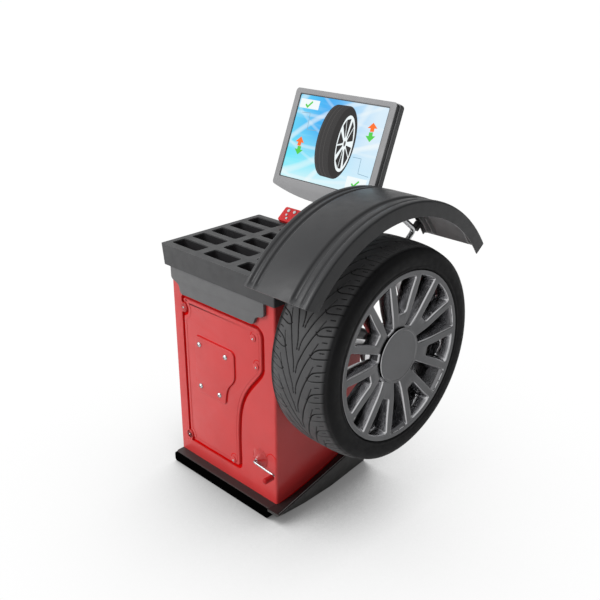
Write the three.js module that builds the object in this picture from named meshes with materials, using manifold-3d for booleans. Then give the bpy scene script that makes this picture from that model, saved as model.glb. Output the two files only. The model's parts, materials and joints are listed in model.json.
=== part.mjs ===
// Wheel balancer machine for car and garage work, in millimetres, +Z up.
// Origin: on the floor, under the middle of the cabinet. +X runs along the spindle to the wheel,
// -Y is the operator's side. Each sub-part is its own named mesh.
import * as THREE from 'three';
import { mergeVertices } from 'three/addons/utils/BufferGeometryUtils.js';
import Module from 'manifold-3d';

const wasm = await Module();
wasm.setup();

// ---------- driving dimensions ----------
const GAP = 0.3; // clearance between pieces that rest on each other

const CAB = { halfX: 245, halfY: 199.5, bottom: 40, top: 758, corner: 8, wall: 4 };
const TRAY = { top: 816, bottom: 743, halfX: 265.6, front: -220, back: 215, draft: 4.4, corner: 5 };
const CELL = {
  columns: 3, rows: 5, firstX: -246, firstY: -191, pitchX: 157.4, pitchY: 82.2, sizeX: 125.6, sizeY: 56,
};
const TROUGH = { left: 214, right: 246 };
const BASE = {
  halfY: 236, left: -245, right: 240, plinthTop: 30, floor: 6, wall: 6, wingX: 291, wingFootX: 258,
};

const AXIS_Z = 618; // spindle height
const WHEEL = { outerPlane: 568, innerPlane: 352, flangeR: 259, tyreR: 329, tyreIn: 343, tyreOut: 571 };
const SPOKES = { count: 7, firstAngle: 13, hubR: 88, rimR: 243, openHalf: 8.7, slotHalf: 10.8, slotR: 136 };
const SHAFT = { r: 18, journalR: 20, inner: 30, outer: 541 };
const HOUSING = { x0: 140, x1: 290, outerR: 50, bearingR: 36 };
const BEARING = { width: 18, rearX: 150, frontX: 262 };
const BELT = { x: 72, width: 18, bigR: 55, smallR: 22, thickness: 4, motorZ: 140 };
const DRUM = { x: 112, width: 24, r: 60 };

const GUARD = { z: 583, r: 488, front: 142.3, rear: 35, inner: 320, outer: 556, thickness: 4, stations: 16 };
const ARM = { pivotY: 236, pivotZ: 785, x: 330, r: 9, elbowY: 342, elbowZ: 868, endY: 146, endZ: 1022 };

const SCREEN = { x: 76, topY: 280, topZ: 1270.6, tilt: 21.9, width: 422, height: 326, bow: 24, corner: 12 };
const POST = { r: 20, y: 240, footZ: 590, clampZ: [612, 700], backPlateTop: 735 };

const PEDAL = {
  x: 170, z: 184, reach: 96, drop: 8, bossR: 34, bossTipR: 9, bossLength: 18, rodX: 118, barY: -229, barR: 4,
  gripR: 9.5, gripLength: 34,
};
const KEYS = { x: -102.5, y: 198, z: 827, slope: 38, width: 105, length: 58, depth: 26 };

// ---------- geometry helpers ----------
const V2 = (x, y) => new THREE.Vector2(x, y);
const V3 = (x, y, z) => new THREE.Vector3(x, y, z);
const RAD = Math.PI / 180;

function indexed(geometry) {
  const bare = geometry.clone();
  for (const attribute of Object.keys(bare.attributes)) {
    if (attribute !== 'position') bare.deleteAttribute(attribute);
  }
  return mergeVertices(bare, 1e-3);
}

// Drops collapsed triangles and turns the faces outwards.
function closed(geometry) {
  const merged = indexed(geometry);
  const index = merged.index.array;
  const corner = (i) => V3().fromBufferAttribute(merged.attributes.position, index[i]);
  const kept = [];
  let volume = 0;
  for (let i = 0; i < index.length; i += 3) {
    const [a, b, c] = [index[i], index[i + 1], index[i + 2]];
    if (a === b || b === c || c === a) continue;
    kept.push(a, b, c);
    volume += corner(i).dot(corner(i + 1).cross(corner(i + 2)));
  }
  merged.setIndex(volume < 0 ? kept.reverse() : kept);
  return merged;
}

function solid(geometry) {
  const body = closed(geometry);
  const vertProperties = new Float32Array(body.attributes.position.array);
  const triVerts = new Uint32Array(body.index.array);
  return new wasm.Manifold(new wasm.Mesh({ numProp: 3, vertProperties, triVerts }));
}

function fromSolid(manifold) {
  const mesh = manifold.getMesh();
  const geometry = new THREE.BufferGeometry();
  geometry.setAttribute('position', new THREE.BufferAttribute(mesh.vertProperties, 3));
  geometry.setIndex(new THREE.BufferAttribute(mesh.triVerts, 1));
  return geometry;
}

const union = (...parts) => fromSolid(parts.map(solid).reduce((a, b) => a.add(b)));
const cut = (body, ...tools) => fromSolid(tools.map(solid).reduce((a, b) => a.subtract(b), solid(body)));

function box(x0, x1, y0, y1, z0, z1) {
  const geometry = new THREE.BoxGeometry(x1 - x0, y1 - y0, z1 - z0);
  return geometry.translate((x0 + x1) / 2, (y0 + y1) / 2, (z0 + z1) / 2);
}

function extrude(shape, depth, curveSegments = 2) {
  return new THREE.ExtrudeGeometry(shape, { depth, bevelEnabled: false, curveSegments });
}

function asShape(outline) {
  return outline instanceof THREE.Shape ? outline : new THREE.Shape(outline);
}

// Outline in (x, y), between two heights.
const prismZ = (outline, z0, z1) => extrude(asShape(outline), z1 - z0).translate(0, 0, z0);

// Outline in (y, z), between two x planes.
function prismX(outline, x0, x1) {
  const turn = new THREE.Matrix4().makeBasis(V3(0, 1, 0), V3(0, 0, 1), V3(1, 0, 0));
  return extrude(asShape(outline), x1 - x0).applyMatrix4(turn).translate(x0, 0, 0);
}

// Outline in (x, z), between two y planes.
function prismY(outline, y0, y1) {
  const turn = new THREE.Matrix4().makeBasis(V3(1, 0, 0), V3(0, 0, 1), V3(0, -1, 0));
  return extrude(asShape(outline), y1 - y0).applyMatrix4(turn).translate(0, y1, 0);
}

function cylinder(axis, radius, from, to, a, b, segments = 24, radiusTo = radius) {
  const geometry = new THREE.CylinderGeometry(radiusTo, radius, to - from, segments);
  geometry.translate(0, (from + to) / 2, 0);
  if (axis === 'x') return geometry.rotateZ(-Math.PI / 2).translate(0, a, b);
  if (axis === 'z') return geometry.rotateX(Math.PI / 2).translate(a, b, 0);
  return geometry.translate(a, 0, b);
}

// Profile of (x, radius) points, turned about the spindle axis.
function turned(profile, segments = 32, y = 0, z = AXIS_Z) {
  const points = profile.map(([x, r]) => V2(r, x));
  if (profile[0][1] > 0) points.push(points[0].clone());
  const turn = new THREE.Matrix4().makeBasis(V3(0, 1, 0), V3(1, 0, 0), V3(0, 0, -1));
  return new THREE.LatheGeometry(points, segments).applyMatrix4(turn).translate(0, y, z);
}

function roundedRect(x0, x1, y0, y1, r) {
  const shape = new THREE.Shape();
  shape.moveTo(x0 + r, y0);
  shape.lineTo(x1 - r, y0);
  shape.absarc(x1 - r, y0 + r, r, -Math.PI / 2, 0, false);
  shape.absarc(x1 - r, y1 - r, r, 0, Math.PI / 2, false);
  shape.absarc(x0 + r, y1 - r, r, Math.PI / 2, Math.PI, false);
  shape.absarc(x0 + r, y0 + r, r, Math.PI, 1.5 * Math.PI, false);
  return shape;
}

// Closed solid through sections of equal point count; place(station, point) gives each corner.
function loft(sections, place) {
  const count = sections[0].length;
  const corners = sections.flatMap((section, k) => section.map((point) => place(k, point)));
  const index = [];
  for (let k = 0; k + 1 < sections.length; k += 1) {
    for (let i = 0; i < count; i += 1) {
      const [a, b] = [k * count + i, k * count + ((i + 1) % count)];
      index.push(a, b, b + count, a, b + count, a + count);
    }
  }
  const last = (sections.length - 1) * count;
  for (const [a, b, c] of THREE.ShapeUtils.triangulateShape(sections[0], [])) index.push(a, c, b);
  for (const [a, b, c] of THREE.ShapeUtils.triangulateShape(sections.at(-1), [])) {
    index.push(last + a, last + b, last + c);
  }
  const geometry = new THREE.BufferGeometry().setFromPoints(corners);
  geometry.setIndex(index);
  return geometry;
}

// Rounded rectangles of different sizes at two heights, joined by drafted walls.
function draftedBlock(lower, upper, z0, z1, radius, arcPoints = 2) {
  const ring = ([x0, x1, y0, y1]) => roundedRect(x0, x1, y0, y1, radius).extractPoints(arcPoints).shape;
  return loft([ring(lower), ring(upper)], (k, p) => V3(p.x, p.y, k ? z1 : z0));
}

// Outline moved outwards by a distance (inwards when negative); the outline runs anticlockwise.
function offsetOutline(points, distance) {
  return points.map((point, i) => {
    const before = points[(i + points.length - 1) % points.length];
    const after = points[(i + 1) % points.length];
    const u = point.clone().sub(before).normalize();
    const v = after.clone().sub(point).normalize();
    const normal = V2(u.y + v.y, -u.x - v.x).normalize();
    const stretch = Math.max(0.6, normal.x * v.y - normal.y * v.x);
    return point.clone().addScaledVector(normal, distance / stretch);
  });
}

// Round bar along straight legs with turned corners.
function bentBar(points, radius, bend, sides = 5) {
  const path = new THREE.CurvePath();
  let start = points[0];
  for (let i = 1; i < points.length - 1; i += 1) {
    const into = points[i].clone().lerp(points[i - 1], bend / points[i].distanceTo(points[i - 1]));
    const out = points[i].clone().lerp(points[i + 1], bend / points[i].distanceTo(points[i + 1]));
    path.add(new THREE.LineCurve3(start, into));
    path.add(new THREE.QuadraticBezierCurve3(into, points[i], out));
    start = out;
  }
  path.add(new THREE.LineCurve3(start, points.at(-1)));
  const circle = new THREE.Shape();
  circle.absarc(0, 0, radius, 0, 2 * Math.PI, false);
  const steps = 8 * (points.length - 1);
  return new THREE.ExtrudeGeometry(circle, { extrudePath: path, steps, curveSegments: sides });
}

// ---------- scene ----------
const machine = new THREE.Group();
machine.name = 'wheel_balancer';

const PAINT = {
  red: ['#b3191b', 0.35, 0.0],
  darkPlastic: ['#3c3d3f', 0.6, 0.0],
  greyPlastic: ['#6d6e70', 0.6, 0.0],
  black: ['#0c0c0d', 0.5, 0.0],
  steel: ['#9aa0a6', 0.35, 1.0],
  chrome: ['#d8dde0', 0.12, 1.0],
  darkSteel: ['#2a2c2e', 0.45, 0.8],
  silver: ['#9d9fa1', 0.4, 0.2],
  rubber: ['#1d1d1f', 0.85, 0.0],
  alloy: ['#5f6266', 0.2, 0.9],
  aluminium: ['#b9bdc1', 0.4, 0.9],
  key: ['#c9cfd0', 0.45, 0.0],
  glass: ['#4cc3ef', 0.1, 0.0],
  copper: ['#8a5a2c', 0.4, 0.7],
};

function add(name, geometry, paint, parent = machine) {
  const [color, roughness, metalness] = PAINT[paint];
  const material = new THREE.MeshStandardMaterial({ color, roughness, metalness });
  const mesh = new THREE.Mesh(closed(geometry), material);
  mesh.name = name;
  parent.add(mesh);
}

// ---------- base ----------
function basePlinth() {
  const pan = roundedRect(BASE.left, BASE.right, -BASE.halfY, BASE.halfY, 16);
  const w = BASE.wall;
  const well = roundedRect(BASE.left + w, BASE.right - w, -BASE.halfY + w, BASE.halfY - w, 10);
  return cut(prismZ(pan, 0, BASE.plinthTop), prismZ(well, BASE.floor, BASE.plinthTop + 1));
}

// Heights of the side panel's lower edge and of the wing's rim, both rising towards the back.
const panelEdge = (y) => CAB.bottom + 56 * (Math.max(0, y + 170) / 265) ** 1.6;
const rimEdge = (y) => CAB.bottom + 2 + 0.235 * (y + BASE.halfY);

function baseCover() {
  const spans = 14;
  const inside = CAB.halfX - 6;
  const [outer, lip] = [BASE.wingX, BASE.wingX - 4];
  const stationY = (k) => BASE.halfY * ((2 * k) / spans - 1);
  const sections = [];
  for (let k = 0; k <= spans; k += 1) {
    const rim = rimEdge(stationY(k));
    const foot = BASE.wingFootX + 6 * Math.sin((Math.PI * k) / spans);
    sections.push([
      V2(inside, 3), V2(foot, 3), V2(lip, rim - 12), V2(lip, rim - 5),
      V2(outer, rim - 3), V2(outer, rim), V2(lip, rim + 1), V2(inside, panelEdge(stationY(k))),
    ]);
  }
  const wing = loft(sections, (k, p) => V3(p.x, stationY(k), p.y));
  const under = [BASE.left, inside + 1, -BASE.halfY, BASE.halfY];
  const over = [BASE.left, inside + 1, -BASE.halfY + 6, BASE.halfY - 6];
  const ledge = draftedBlock(under, over, BASE.plinthTop + GAP, CAB.bottom - GAP, 12);
  const bevel = 22;
  const frontCorner = prismZ([
    V2(outer - bevel, -BASE.halfY - 1), V2(outer + 1, -BASE.halfY - 1), V2(outer + 1, -BASE.halfY + bevel),
    V2(outer - 6, -BASE.halfY + 9),
  ], -1, 200);
  const opening = box(-CAB.halfX + 14, CAB.halfX - 18, -CAB.halfY + 14, CAB.halfY - 14, 20, 400);
  const plinthTop = BASE.plinthTop + GAP;
  const plinthRoom = box(BASE.left - 1, BASE.right + GAP, -BASE.halfY - 1, BASE.halfY + 1, 0, plinthTop);
  const [roomX, roomY] = [CAB.halfX + GAP, CAB.halfY + GAP];
  const cabinetRoom = prismZ(roundedRect(-roomX, roomX, -roomY, roomY, CAB.corner), CAB.bottom - GAP, 400);
  return cut(union(wing, ledge), opening, plinthRoom, cabinetRoom, frontCorner);
}

// ---------- cabinet ----------
// Access panel on the front face: notches leave room for two screws at its left corners.
const PANEL = {
  left: -188, right: 186, top: 640, bottom: 104, notchR: 28, islandR: 16, groove: 13, proud: 1.5, emboss: 5,
};
const NOTCHES = [{ x: -192, z: 603 }, { x: -198, z: 113 }];

function panelOutline() {
  const { left, right, top, bottom, notchR: r } = PANEL;
  const [upper, lower] = NOTCHES;
  const s = new THREE.Shape();
  const lowA = Math.asin((bottom - lower.z) / r);
  const lowB = Math.acos((left - lower.x) / r);
  const upA = Math.acos((left - upper.x) / r);
  s.moveTo(lower.x + r * Math.cos(lowA), bottom);
  s.lineTo(54, bottom);
  s.absarc(54, bottom + 14, 14, -Math.PI / 2, 0, false);
  s.lineTo(68, 200);
  s.bezierCurveTo(70, 300, 76, 340, 104, 392);
  s.bezierCurveTo(134, 446, right, 486, right, 512);
  s.lineTo(right, top - 26);
  s.absarc(right - 26, top - 26, 26, 0, Math.PI / 2, false);
  s.lineTo(left + 6, top);
  s.absarc(left + 6, top - 6, 6, Math.PI / 2, Math.PI, false);
  s.absarc(upper.x, upper.z, r, upA, -upA, true);
  s.absarc(lower.x, lower.z, r, lowB, lowA, true);
  return s.extractPoints(3).shape;
}

function cabinetShell() {
  const { halfX: x, halfY: y, wall: w, corner: r } = CAB;
  const outer = prismZ(roundedRect(-x, x, -y, y, r), CAB.bottom, CAB.top);
  const inner = prismZ(roundedRect(-x + w, x - w, -y + w, y - w, r - w), CAB.bottom - 1, CAB.top - w);
  const opening = prismY(offsetOutline(panelOutline(), PANEL.groove), -y - 1, -y + w + 1);
  const islands = NOTCHES.map((n) => cylinder('y', PANEL.islandR, -y, -y + w, n.x, n.z, 20));
  const arch = [];
  for (let k = 0; k <= 10; k += 1) {
    const at = (y + 1) * (k / 5 - 1);
    arch.push(V2(at, panelEdge(at)));
  }
  const lowEdge = prismX([V2(y + 1, 0), ...arch.reverse(), V2(-y - 1, 0)], x - w - r, x + 1);
  const spindleHole = cylinder('x', 60, x - 30, x + 30, 0, AXIS_Z);
  const switchHole = box(-150, -70, y - 10, y + 10, 560, 620);
  const pedalHole = cylinder('y', 14, -y - 10, -y + 10, PEDAL.x, PEDAL.z, 16);
  const shell = cut(outer, inner, opening, lowEdge, spindleHole, switchHole, pedalHole);
  return union(shell, ...islands);
}

function frontPanel() {
  const outline = panelOutline();
  const face = -CAB.halfY - PANEL.proud;
  const back = -CAB.halfY + CAB.wall + GAP;
  const pad = prismY(outline, face, back + 3);
  const flange = prismY(offsetOutline(outline, PANEL.groove + 8), back, back + 3);
  const s = new THREE.Shape();
  s.moveTo(-118, 318);
  s.lineTo(2, 318);
  s.absarc(2, 330, 12, -Math.PI / 2, 0, false);
  s.bezierCurveTo(16, 364, 26, 384, 38, 398);
  s.bezierCurveTo(54, 414, 61, 424, 61, 442);
  s.lineTo(61, 504);
  s.absarc(43, 506, 18, 0, Math.PI / 2, false);
  s.lineTo(-118, 524);
  s.absarc(-118, 510, 14, Math.PI / 2, Math.PI, false);
  s.lineTo(-132, 332);
  s.absarc(-118, 332, 14, Math.PI, 1.5 * Math.PI, false);
  const emboss = prismY(s, face - PANEL.emboss, face + 1);
  return union(pad, flange, emboss);
}

function roundHead(radius, height, x, z, y) {
  const profile = [[0, 0], [0, radius], [height * 0.5, radius * 0.86], [height, radius * 0.4], [height, 0]];
  const points = profile.map(([h, r]) => V2(r, h));
  return new THREE.LatheGeometry(points, 10).rotateX(Math.PI).translate(x, y - GAP, z);
}

// Bolts hold the spindle plate behind the raised emboss; screws hold the panel round its edge.
const BOLTS = [[-109, 497], [21, 496], [-110, 343], [-15, 344.5]];
const EDGE_SCREWS = [...NOTCHES.map((n) => [n.x, n.z, 0]), [150, 603, PANEL.proud], [161, 509, PANEL.proud],
  [38, 114, PANEL.proud]];

function addFasteners() {
  const boltFace = -CAB.halfY - PANEL.proud - PANEL.emboss;
  BOLTS.forEach(([x, z], i) => {
    add(`panel_bolt_${i + 1}`, roundHead(9, 6, x, z, boltFace), 'chrome');
  });
  EDGE_SCREWS.forEach(([x, z, proud], i) => {
    add(`panel_screw_${i + 1}`, roundHead(5, 3, x, z, -CAB.halfY - proud), 'chrome');
  });
}

// ---------- weight tray ----------
function weightTray() {
  const t = TRAY;
  const upper = [-t.halfX, t.halfX, t.front, t.back];
  const lower = [-t.halfX + t.draft, t.halfX - t.draft, t.front + t.draft, t.back - t.draft];
  const block = draftedBlock(lower, upper, t.bottom, t.top, t.corner);
  const room = CAB.halfX + 1;
  const seat = roundedRect(-room, room, -CAB.halfY - 14, CAB.halfY + 1, CAB.corner);
  const underside = prismZ(seat, t.bottom - 1, CAB.top + GAP);
  const cells = [];
  for (let i = 0; i < CELL.columns; i += 1) {
    for (let j = 0; j < CELL.rows; j += 1) {
      const [x, y] = [CELL.firstX + i * CELL.pitchX, CELL.firstY + j * CELL.pitchY];
      cells.push(cell(x, x + CELL.sizeX, y, y + CELL.sizeY));
    }
  }
  const lastY = CELL.firstY + (CELL.rows - 1) * CELL.pitchY + CELL.sizeY;
  const trough = cell(TROUGH.left, TROUGH.right, CELL.firstY, lastY);
  return cut(block, underside, ...cells, trough);
}

// Drafted bin that runs through the tray.
function cell(x0, x1, y0, y1) {
  const draft = 7;
  const lower = [x0 + draft, x1 - draft, y0 + draft, y1 - draft];
  return draftedBlock(lower, [x0 - 0.1, x1 + 0.1, y0 - 0.1, y1 + 0.1], CAB.top - 2, TRAY.top + 1, 8, 1);
}

function trayApron() {
  const s = new THREE.Shape();
  s.moveTo(-178, 656);
  s.lineTo(146, 657);
  s.bezierCurveTo(158, 657, 164, 660, 167, 670);
  s.bezierCurveTo(170, 682, 178, 688, 188, 690);
  s.bezierCurveTo(202, 692, 210, 696, 210, 706);
  s.lineTo(210, 740);
  s.lineTo(218, 752);
  s.lineTo(-234, 752);
  s.lineTo(-234, 708);
  s.bezierCurveTo(-234, 690, -196, 698, -193, 674);
  s.bezierCurveTo(-191, 662, -190, 656, -178, 656);
  return prismY(s, -CAB.halfY - 12, -CAB.halfY - GAP);
}

// ---------- keypad ----------
const keypad = new THREE.Group();
keypad.position.set(KEYS.x, KEYS.y, KEYS.z);
keypad.rotation.x = KEYS.slope * RAD;
machine.add(keypad);

function keypadHousing() {
  const { width: w, length: l, depth: d } = KEYS;
  const outline = roundedRect(-w / 2, w / 2, 0, l, 9);
  const body = prismZ(outline, -d, 0);
  const wells = keyPlaces().map(([x, y, r]) => cylinder('z', r + 0.6, -8, 1, x, y, 14));
  const floor = new THREE.Matrix4().makeRotationX(-KEYS.slope * RAD);
  const foot = box(-w, w, -80, 120, -120, TRAY.top + GAP - KEYS.z).applyMatrix4(floor);
  return cut(body, foot, ...wells);
}

function keyPlaces() {
  const large = [-28, 0, 28].map((x) => [x, 44, 6.5]);
  const small = [[-25.5, 26], [-15.5, 13], [15.5, 13], [25.5, 26]].map(([x, y]) => [x, y, 4.6]);
  return [...large, ...small];
}

function addKeys() {
  add('keypad_housing', keypadHousing(), 'red', keypad);
  keyPlaces().forEach(([x, y, r], i) => {
    const cap = union(cylinder('z', r, -4.5, 2, x, y, 10), cylinder('z', r, 2, 3, x, y, 10, r * 0.8));
    add(`key_${i + 1}`, cap, 'key', keypad);
  });
}

// ---------- spindle, its housing and drive ----------
function spindleHousing() {
  const { x0, x1, outerR, bearingR } = HOUSING;
  const tube = cylinder('x', outerR, x0, x1, 0, AXIS_Z, 32);
  const pad = box(160, 240, 30, 56, AXIS_Z - 40, AXIS_Z + 40);
  const bore = cylinder('x', bearingR + GAP, x0 - 1, x1 + 1, 0, AXIS_Z, 32);
  return cut(union(tube, pad), bore);
}

function spindleColumn() {
  const foot = box(120, 222, 30, 175, BASE.floor + GAP, 18);
  const column = box(150, 222, 78, 160, 12, AXIS_Z + 70);
  const shelf = box(150, 222, -40, 90, 520, 532);
  return union(foot, column, shelf);
}

function bearing(x) {
  const { bearingR: outer } = HOUSING;
  const inner = SHAFT.journalR + GAP;
  const w = BEARING.width;
  const section = [
    [x, inner], [x, outer - 5], [x + 1.5, outer], [x + w - 1.5, outer], [x + w, outer - 5], [x + w, inner],
  ];
  return turned(section, 28);
}

function piezoVertical() {
  const body = cylinder('z', 14, 532 + GAP, 548, 196, 0, 16);
  return union(body, cylinder('z', 7, 547, AXIS_Z - HOUSING.outerR - GAP, 196, 0, 12));
}

function piezoHorizontal() {
  return cylinder('y', 14, 56 + GAP, 78 - GAP, 196, AXIS_Z, 16);
}

function spindleShaft() {
  const { r, journalR: j, inner, outer } = SHAFT;
  return turned([
    [inner, 0], [inner, 15], [45, 15], [45, r], [138, r], [138, j], [300, j], [305, r], [outer - 3, r],
    [outer, r - 3], [outer, 0],
  ], 20);
}

function onShaft(x0, x1, outerR, chamfer = 1.5, bore = SHAFT.r + GAP, segments = 28) {
  return turned([[x0, bore], [x0, outerR - chamfer], [x0 + chamfer, outerR], [x1 - chamfer, outerR],
    [x1, outerR - chamfer], [x1, bore]], segments);
}

function pulley(radius, bore, z, segments) {
  const [x0, x1] = [BELT.x - BELT.width / 2 - 3, BELT.x + BELT.width / 2 + 3];
  const rim = radius + 6;
  return turned([
    [x0, bore], [x0, rim], [x0 + 2.5, rim], [x0 + 3, radius],
    [x1 - 3, radius], [x1 - 2.5, rim], [x1, rim], [x1, bore],
  ], segments, 0, z);
}

function backplateFlange() {
  const bore = SHAFT.r + GAP;
  return turned([
    [312, bore], [312, 32], [440, 38], [462, 66], [480, 78], [496.5, 78], [496.5, 34], [472, 34], [472, bore],
  ], 30);
}

function centringCone() {
  const bore = SHAFT.r + GAP;
  return turned([[500, bore], [500, 33], [504, 35], [522, 27], [526, bore + 2], [526, bore]], 28);
}

function coneSpring() {
  class Coil extends THREE.Curve {
    getPoint(t) {
      const [turns, x0, x1, r] = [3.5, 475.5, 496.5, 26];
      const angle = 2 * Math.PI * turns * t;
      return V3(x0 + (x1 - x0) * t, r * Math.cos(angle), AXIS_Z + r * Math.sin(angle));
    }
  }
  const wire = new THREE.Shape();
  wire.absarc(0, 0, 2, 0, 2 * Math.PI, false);
  return new THREE.ExtrudeGeometry(wire, { extrudePath: new Coil(), steps: 42, curveSegments: 2 });
}

function quickNut() {
  const bore = SHAFT.r + GAP;
  return turned([[531, bore], [531, 30], [533, 50], [545, 50], [549, 40], [549, bore]], 28);
}

// ---------- wheel ----------
// Ring sector between two radii and two angles, in (y, z) about the spindle axis.
function sector(inner, outer, mid, innerHalf, outerHalf) {
  const at = (r, a) => V2(r * Math.cos(a * RAD), AXIS_Z + r * Math.sin(a * RAD));
  const points = [];
  for (let k = -1; k <= 1; k += 1) points.push(at(outer, mid + outerHalf * k));
  for (let k = 1; k >= -1; k -= 1) points.push(at(inner, mid + innerHalf * k));
  return points;
}

function wheelRim() {
  const { outerPlane: o, innerPlane: i, flangeR: f } = WHEEL;
  const barrel = turned([
    [o, f], [o - 6, f], [o - 8, f - 13], [o - 20, f - 17], [o - 60, f - 21], [o - 68, f - 28],
    [i + 60, f - 28],
    [i + 42, f - 20], [i + 14, f - 17], [i + 8, f - 12], [i + 6, f], [i, f], [i, f - 7], [i + 8, f - 17],
    [i + 42, f - 24], [i + 62, f - 34], [o - 66, f - 34], [o - 46, f - 25], [o - 14, f - 20], [o, f - 10],
  ], 36);
  const { hubR, rimR } = SPOKES;
  const disc = [[524, 60], [524, rimR - 7], [548, rimR - 2.5], [556, rimR + 0.5], [549, hubR], [549, 60]];
  const face = turned(disc, 36);
  const hub = turned([[497, 36], [497, 84], [530, 90], [549, 86], [549, 60], [531, 60], [531, 36]], 36);
  const openings = [];
  for (let k = 0; k < SPOKES.count; k += 1) {
    const angle = SPOKES.firstAngle + (360 * k) / SPOKES.count;
    const middle = angle + 180 / SPOKES.count;
    openings.push(prismX(sector(hubR + 3, rimR, angle, 8, SPOKES.openHalf), 515, 560));
    openings.push(prismX(sector(SPOKES.slotR, rimR - 1, middle, 6.3, SPOKES.slotHalf), 515, 560));
  }
  return union(barrel, hub, cut(face, ...openings));
}

function tyre() {
  const { tyreIn: a, tyreOut: b, tyreR: r, flangeR: f, innerPlane: i, outerPlane: o } = WHEEL;
  const middle = (a + b) / 2;
  return turned([
    [i + 16, f - 15.5], [i + 9, f - 11], [i + 9, f + 1.5], [a + 3, f + 12], [a, f + 32], [a + 8, r - 22],
    [a + 26, r - 7], [middle, r], [b - 26, r - 7], [b - 8, r - 22], [b, f + 32], [b - 4, f + 8],
    [o - 9, f + 1.5], [o - 9, f - 11], [o - 18, f - 15.5], [o - 32, f - 15.5], [b - 24, f + 34],
    [b - 32, r - 15], [a + 32, r - 15], [a + 24, f + 34], [i + 30, f - 15.5],
  ], 40);
}

function hubCap() {
  const seat = 553 + GAP;
  return turned([[549.5, 0], [549.5, 59], [seat, 59], [seat, 84], [555, 84], [556.5, 81], [556.5, 0]], 32);
}

// ---------- motor, belt and electrics ----------
function driveMotor() {
  const z = BELT.motorZ;
  const body = cylinder('x', 54, -90, 44, 0, z, 28);
  const nose = cylinder('x', 26, 43, 52, 0, z, 24);
  const foot = box(-70, 24, -48, 48, BASE.floor + GAP, 20);
  const web = box(-50, 4, -34, 34, 18, z - 36);
  return union(body, nose, foot, web);
}

function motorPulley() {
  const shaft = turned([[53, 0], [53, 9], [BELT.x + 24, 9], [BELT.x + 24, 0]], 20, 0, BELT.motorZ);
  return union(pulley(BELT.smallR, 5, BELT.motorZ, 22), shaft);
}

// Open belt around both pulleys, with its straight runs tangent to them.
function driveBelt() {
  const span = AXIS_Z - BELT.motorZ;
  const loop = (grow, width) => {
    const [big, small] = [BELT.bigR + grow, BELT.smallR + grow];
    const lean = Math.asin((big - small) / span);
    const s = new THREE.Shape();
    s.absarc(0, AXIS_Z, big, -lean, Math.PI + lean, false);
    s.absarc(0, BELT.motorZ, small, Math.PI + lean, 2 * Math.PI - lean, false);
    return prismX(s.extractPoints(9).shape, BELT.x - width / 2, BELT.x + width / 2);
  };
  return cut(loop(1 + BELT.thickness, BELT.width - 1), loop(1, BELT.width + 2));
}

function controlBox() {
  const x = -CAB.halfX + CAB.wall + GAP;
  const lid = box(x + 44, x + 47, -92, 92, 318, 542);
  return union(box(x, x + 45, -90, 90, 320, 540), lid);
}

function mainsSocket() {
  const y = CAB.halfY;
  const flange = box(-154, -66, y + GAP, y + 4, 556, 624);
  const frame = union(flange, box(-148, -72, y - 26, y + 2, 562, 618));
  const rockerWell = box(-146.5, -113, y - 18, y + 6, 572, 608);
  const inlet = box(-106, -76, y - 18, y + 6, 574, 606);
  return cut(frame, rockerWell, inlet);
}

function mainsRocker() {
  const y = CAB.halfY;
  const profile = [
    V2(y - 12, 574.5), V2(y + 7, 575.5), V2(y + 3, 590), V2(y + 3, 592), V2(y + 5, 604), V2(y - 12, 605.5),
  ];
  return prismX(profile, -145, -114.5);
}

// ---------- spindle brake ----------
function pedalBoss() {
  const { x, z, bossR, bossTipR, bossLength } = PEDAL;
  const face = -CAB.halfY - GAP;
  const tip = face - bossLength;
  const cone = cylinder('y', bossTipR, tip, face, x, z, 28, bossR);
  const collar = cylinder('y', bossR + 2, face - 2, face, x, z, 28);
  const sleeve = cylinder('y', 13, face - 1, -CAB.halfY + 22, x, z, 20);
  const bore = cylinder('y', 6, tip - 1, -CAB.halfY + 30, x, z, 20);
  return cut(union(cone, collar, sleeve), bore);
}

// Cranked rod: the shaft turns into the outer arm, which turns again into the pin inside the grip.
function pedalLever() {
  const { x, z, reach, drop, rodX, barY, barR, gripLength } = PEDAL;
  const corner = V3(x + reach, barY, z - drop);
  const end = V3(x + reach, barY - 8 - gripLength, z - drop);
  const crank = bentBar([V3(x, 14, z), V3(x, barY, z), corner, end], barR, 5);
  const sleeve = cylinder('y', 5.5, -CAB.halfY - 12, 14, x, z, 20);
  const arm = new THREE.Shape();
  arm.absarc(rodX, z, 8, Math.PI / 2, 1.5 * Math.PI, false);
  arm.absarc(x, z, 12, -Math.PI / 2, Math.PI / 2, false);
  return union(crank, sleeve, prismY(arm, 5, 13));
}

function pedalGrip() {
  const { x, reach, drop, barY, barR, gripR, gripLength } = PEDAL;
  const [px, z] = [x + reach, PEDAL.z - drop];
  const start = barY - 9;
  const sleeve = cylinder('y', gripR, start - gripLength, start, px, z, 20);
  const end = cylinder('y', gripR * 0.6, start - gripLength - 3, start - gripLength + 0.5, px, z, 20, gripR);
  return cut(union(sleeve, end), cylinder('y', barR + 3 * GAP, start - gripLength + 0.8, barY, px, z, 16));
}

function brakeRod() {
  const z0 = PEDAL.z + 22;
  const x = PEDAL.rodX;
  const drumBottom = AXIS_Z - DRUM.r;
  const rod = cylinder('z', 5, z0, drumBottom - 42, x, 9, 12);
  const pusher = cylinder('z', 8, z0 - 13, z0 + 2, x, 9, 14);
  const head = box(x - 12, x + 12, -24, 24, drumBottom - 44, drumBottom - 36);
  return union(rod, pusher, head);
}

function brakeShoe() {
  const block = box(DRUM.x - 10, DRUM.x + 10, -24, 24, AXIS_Z - DRUM.r - 36 + GAP, AXIS_Z - DRUM.r + 4);
  return cut(block, cylinder('x', DRUM.r + 12, DRUM.x - 20, DRUM.x + 20, 0, AXIS_Z, 56));
}

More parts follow.
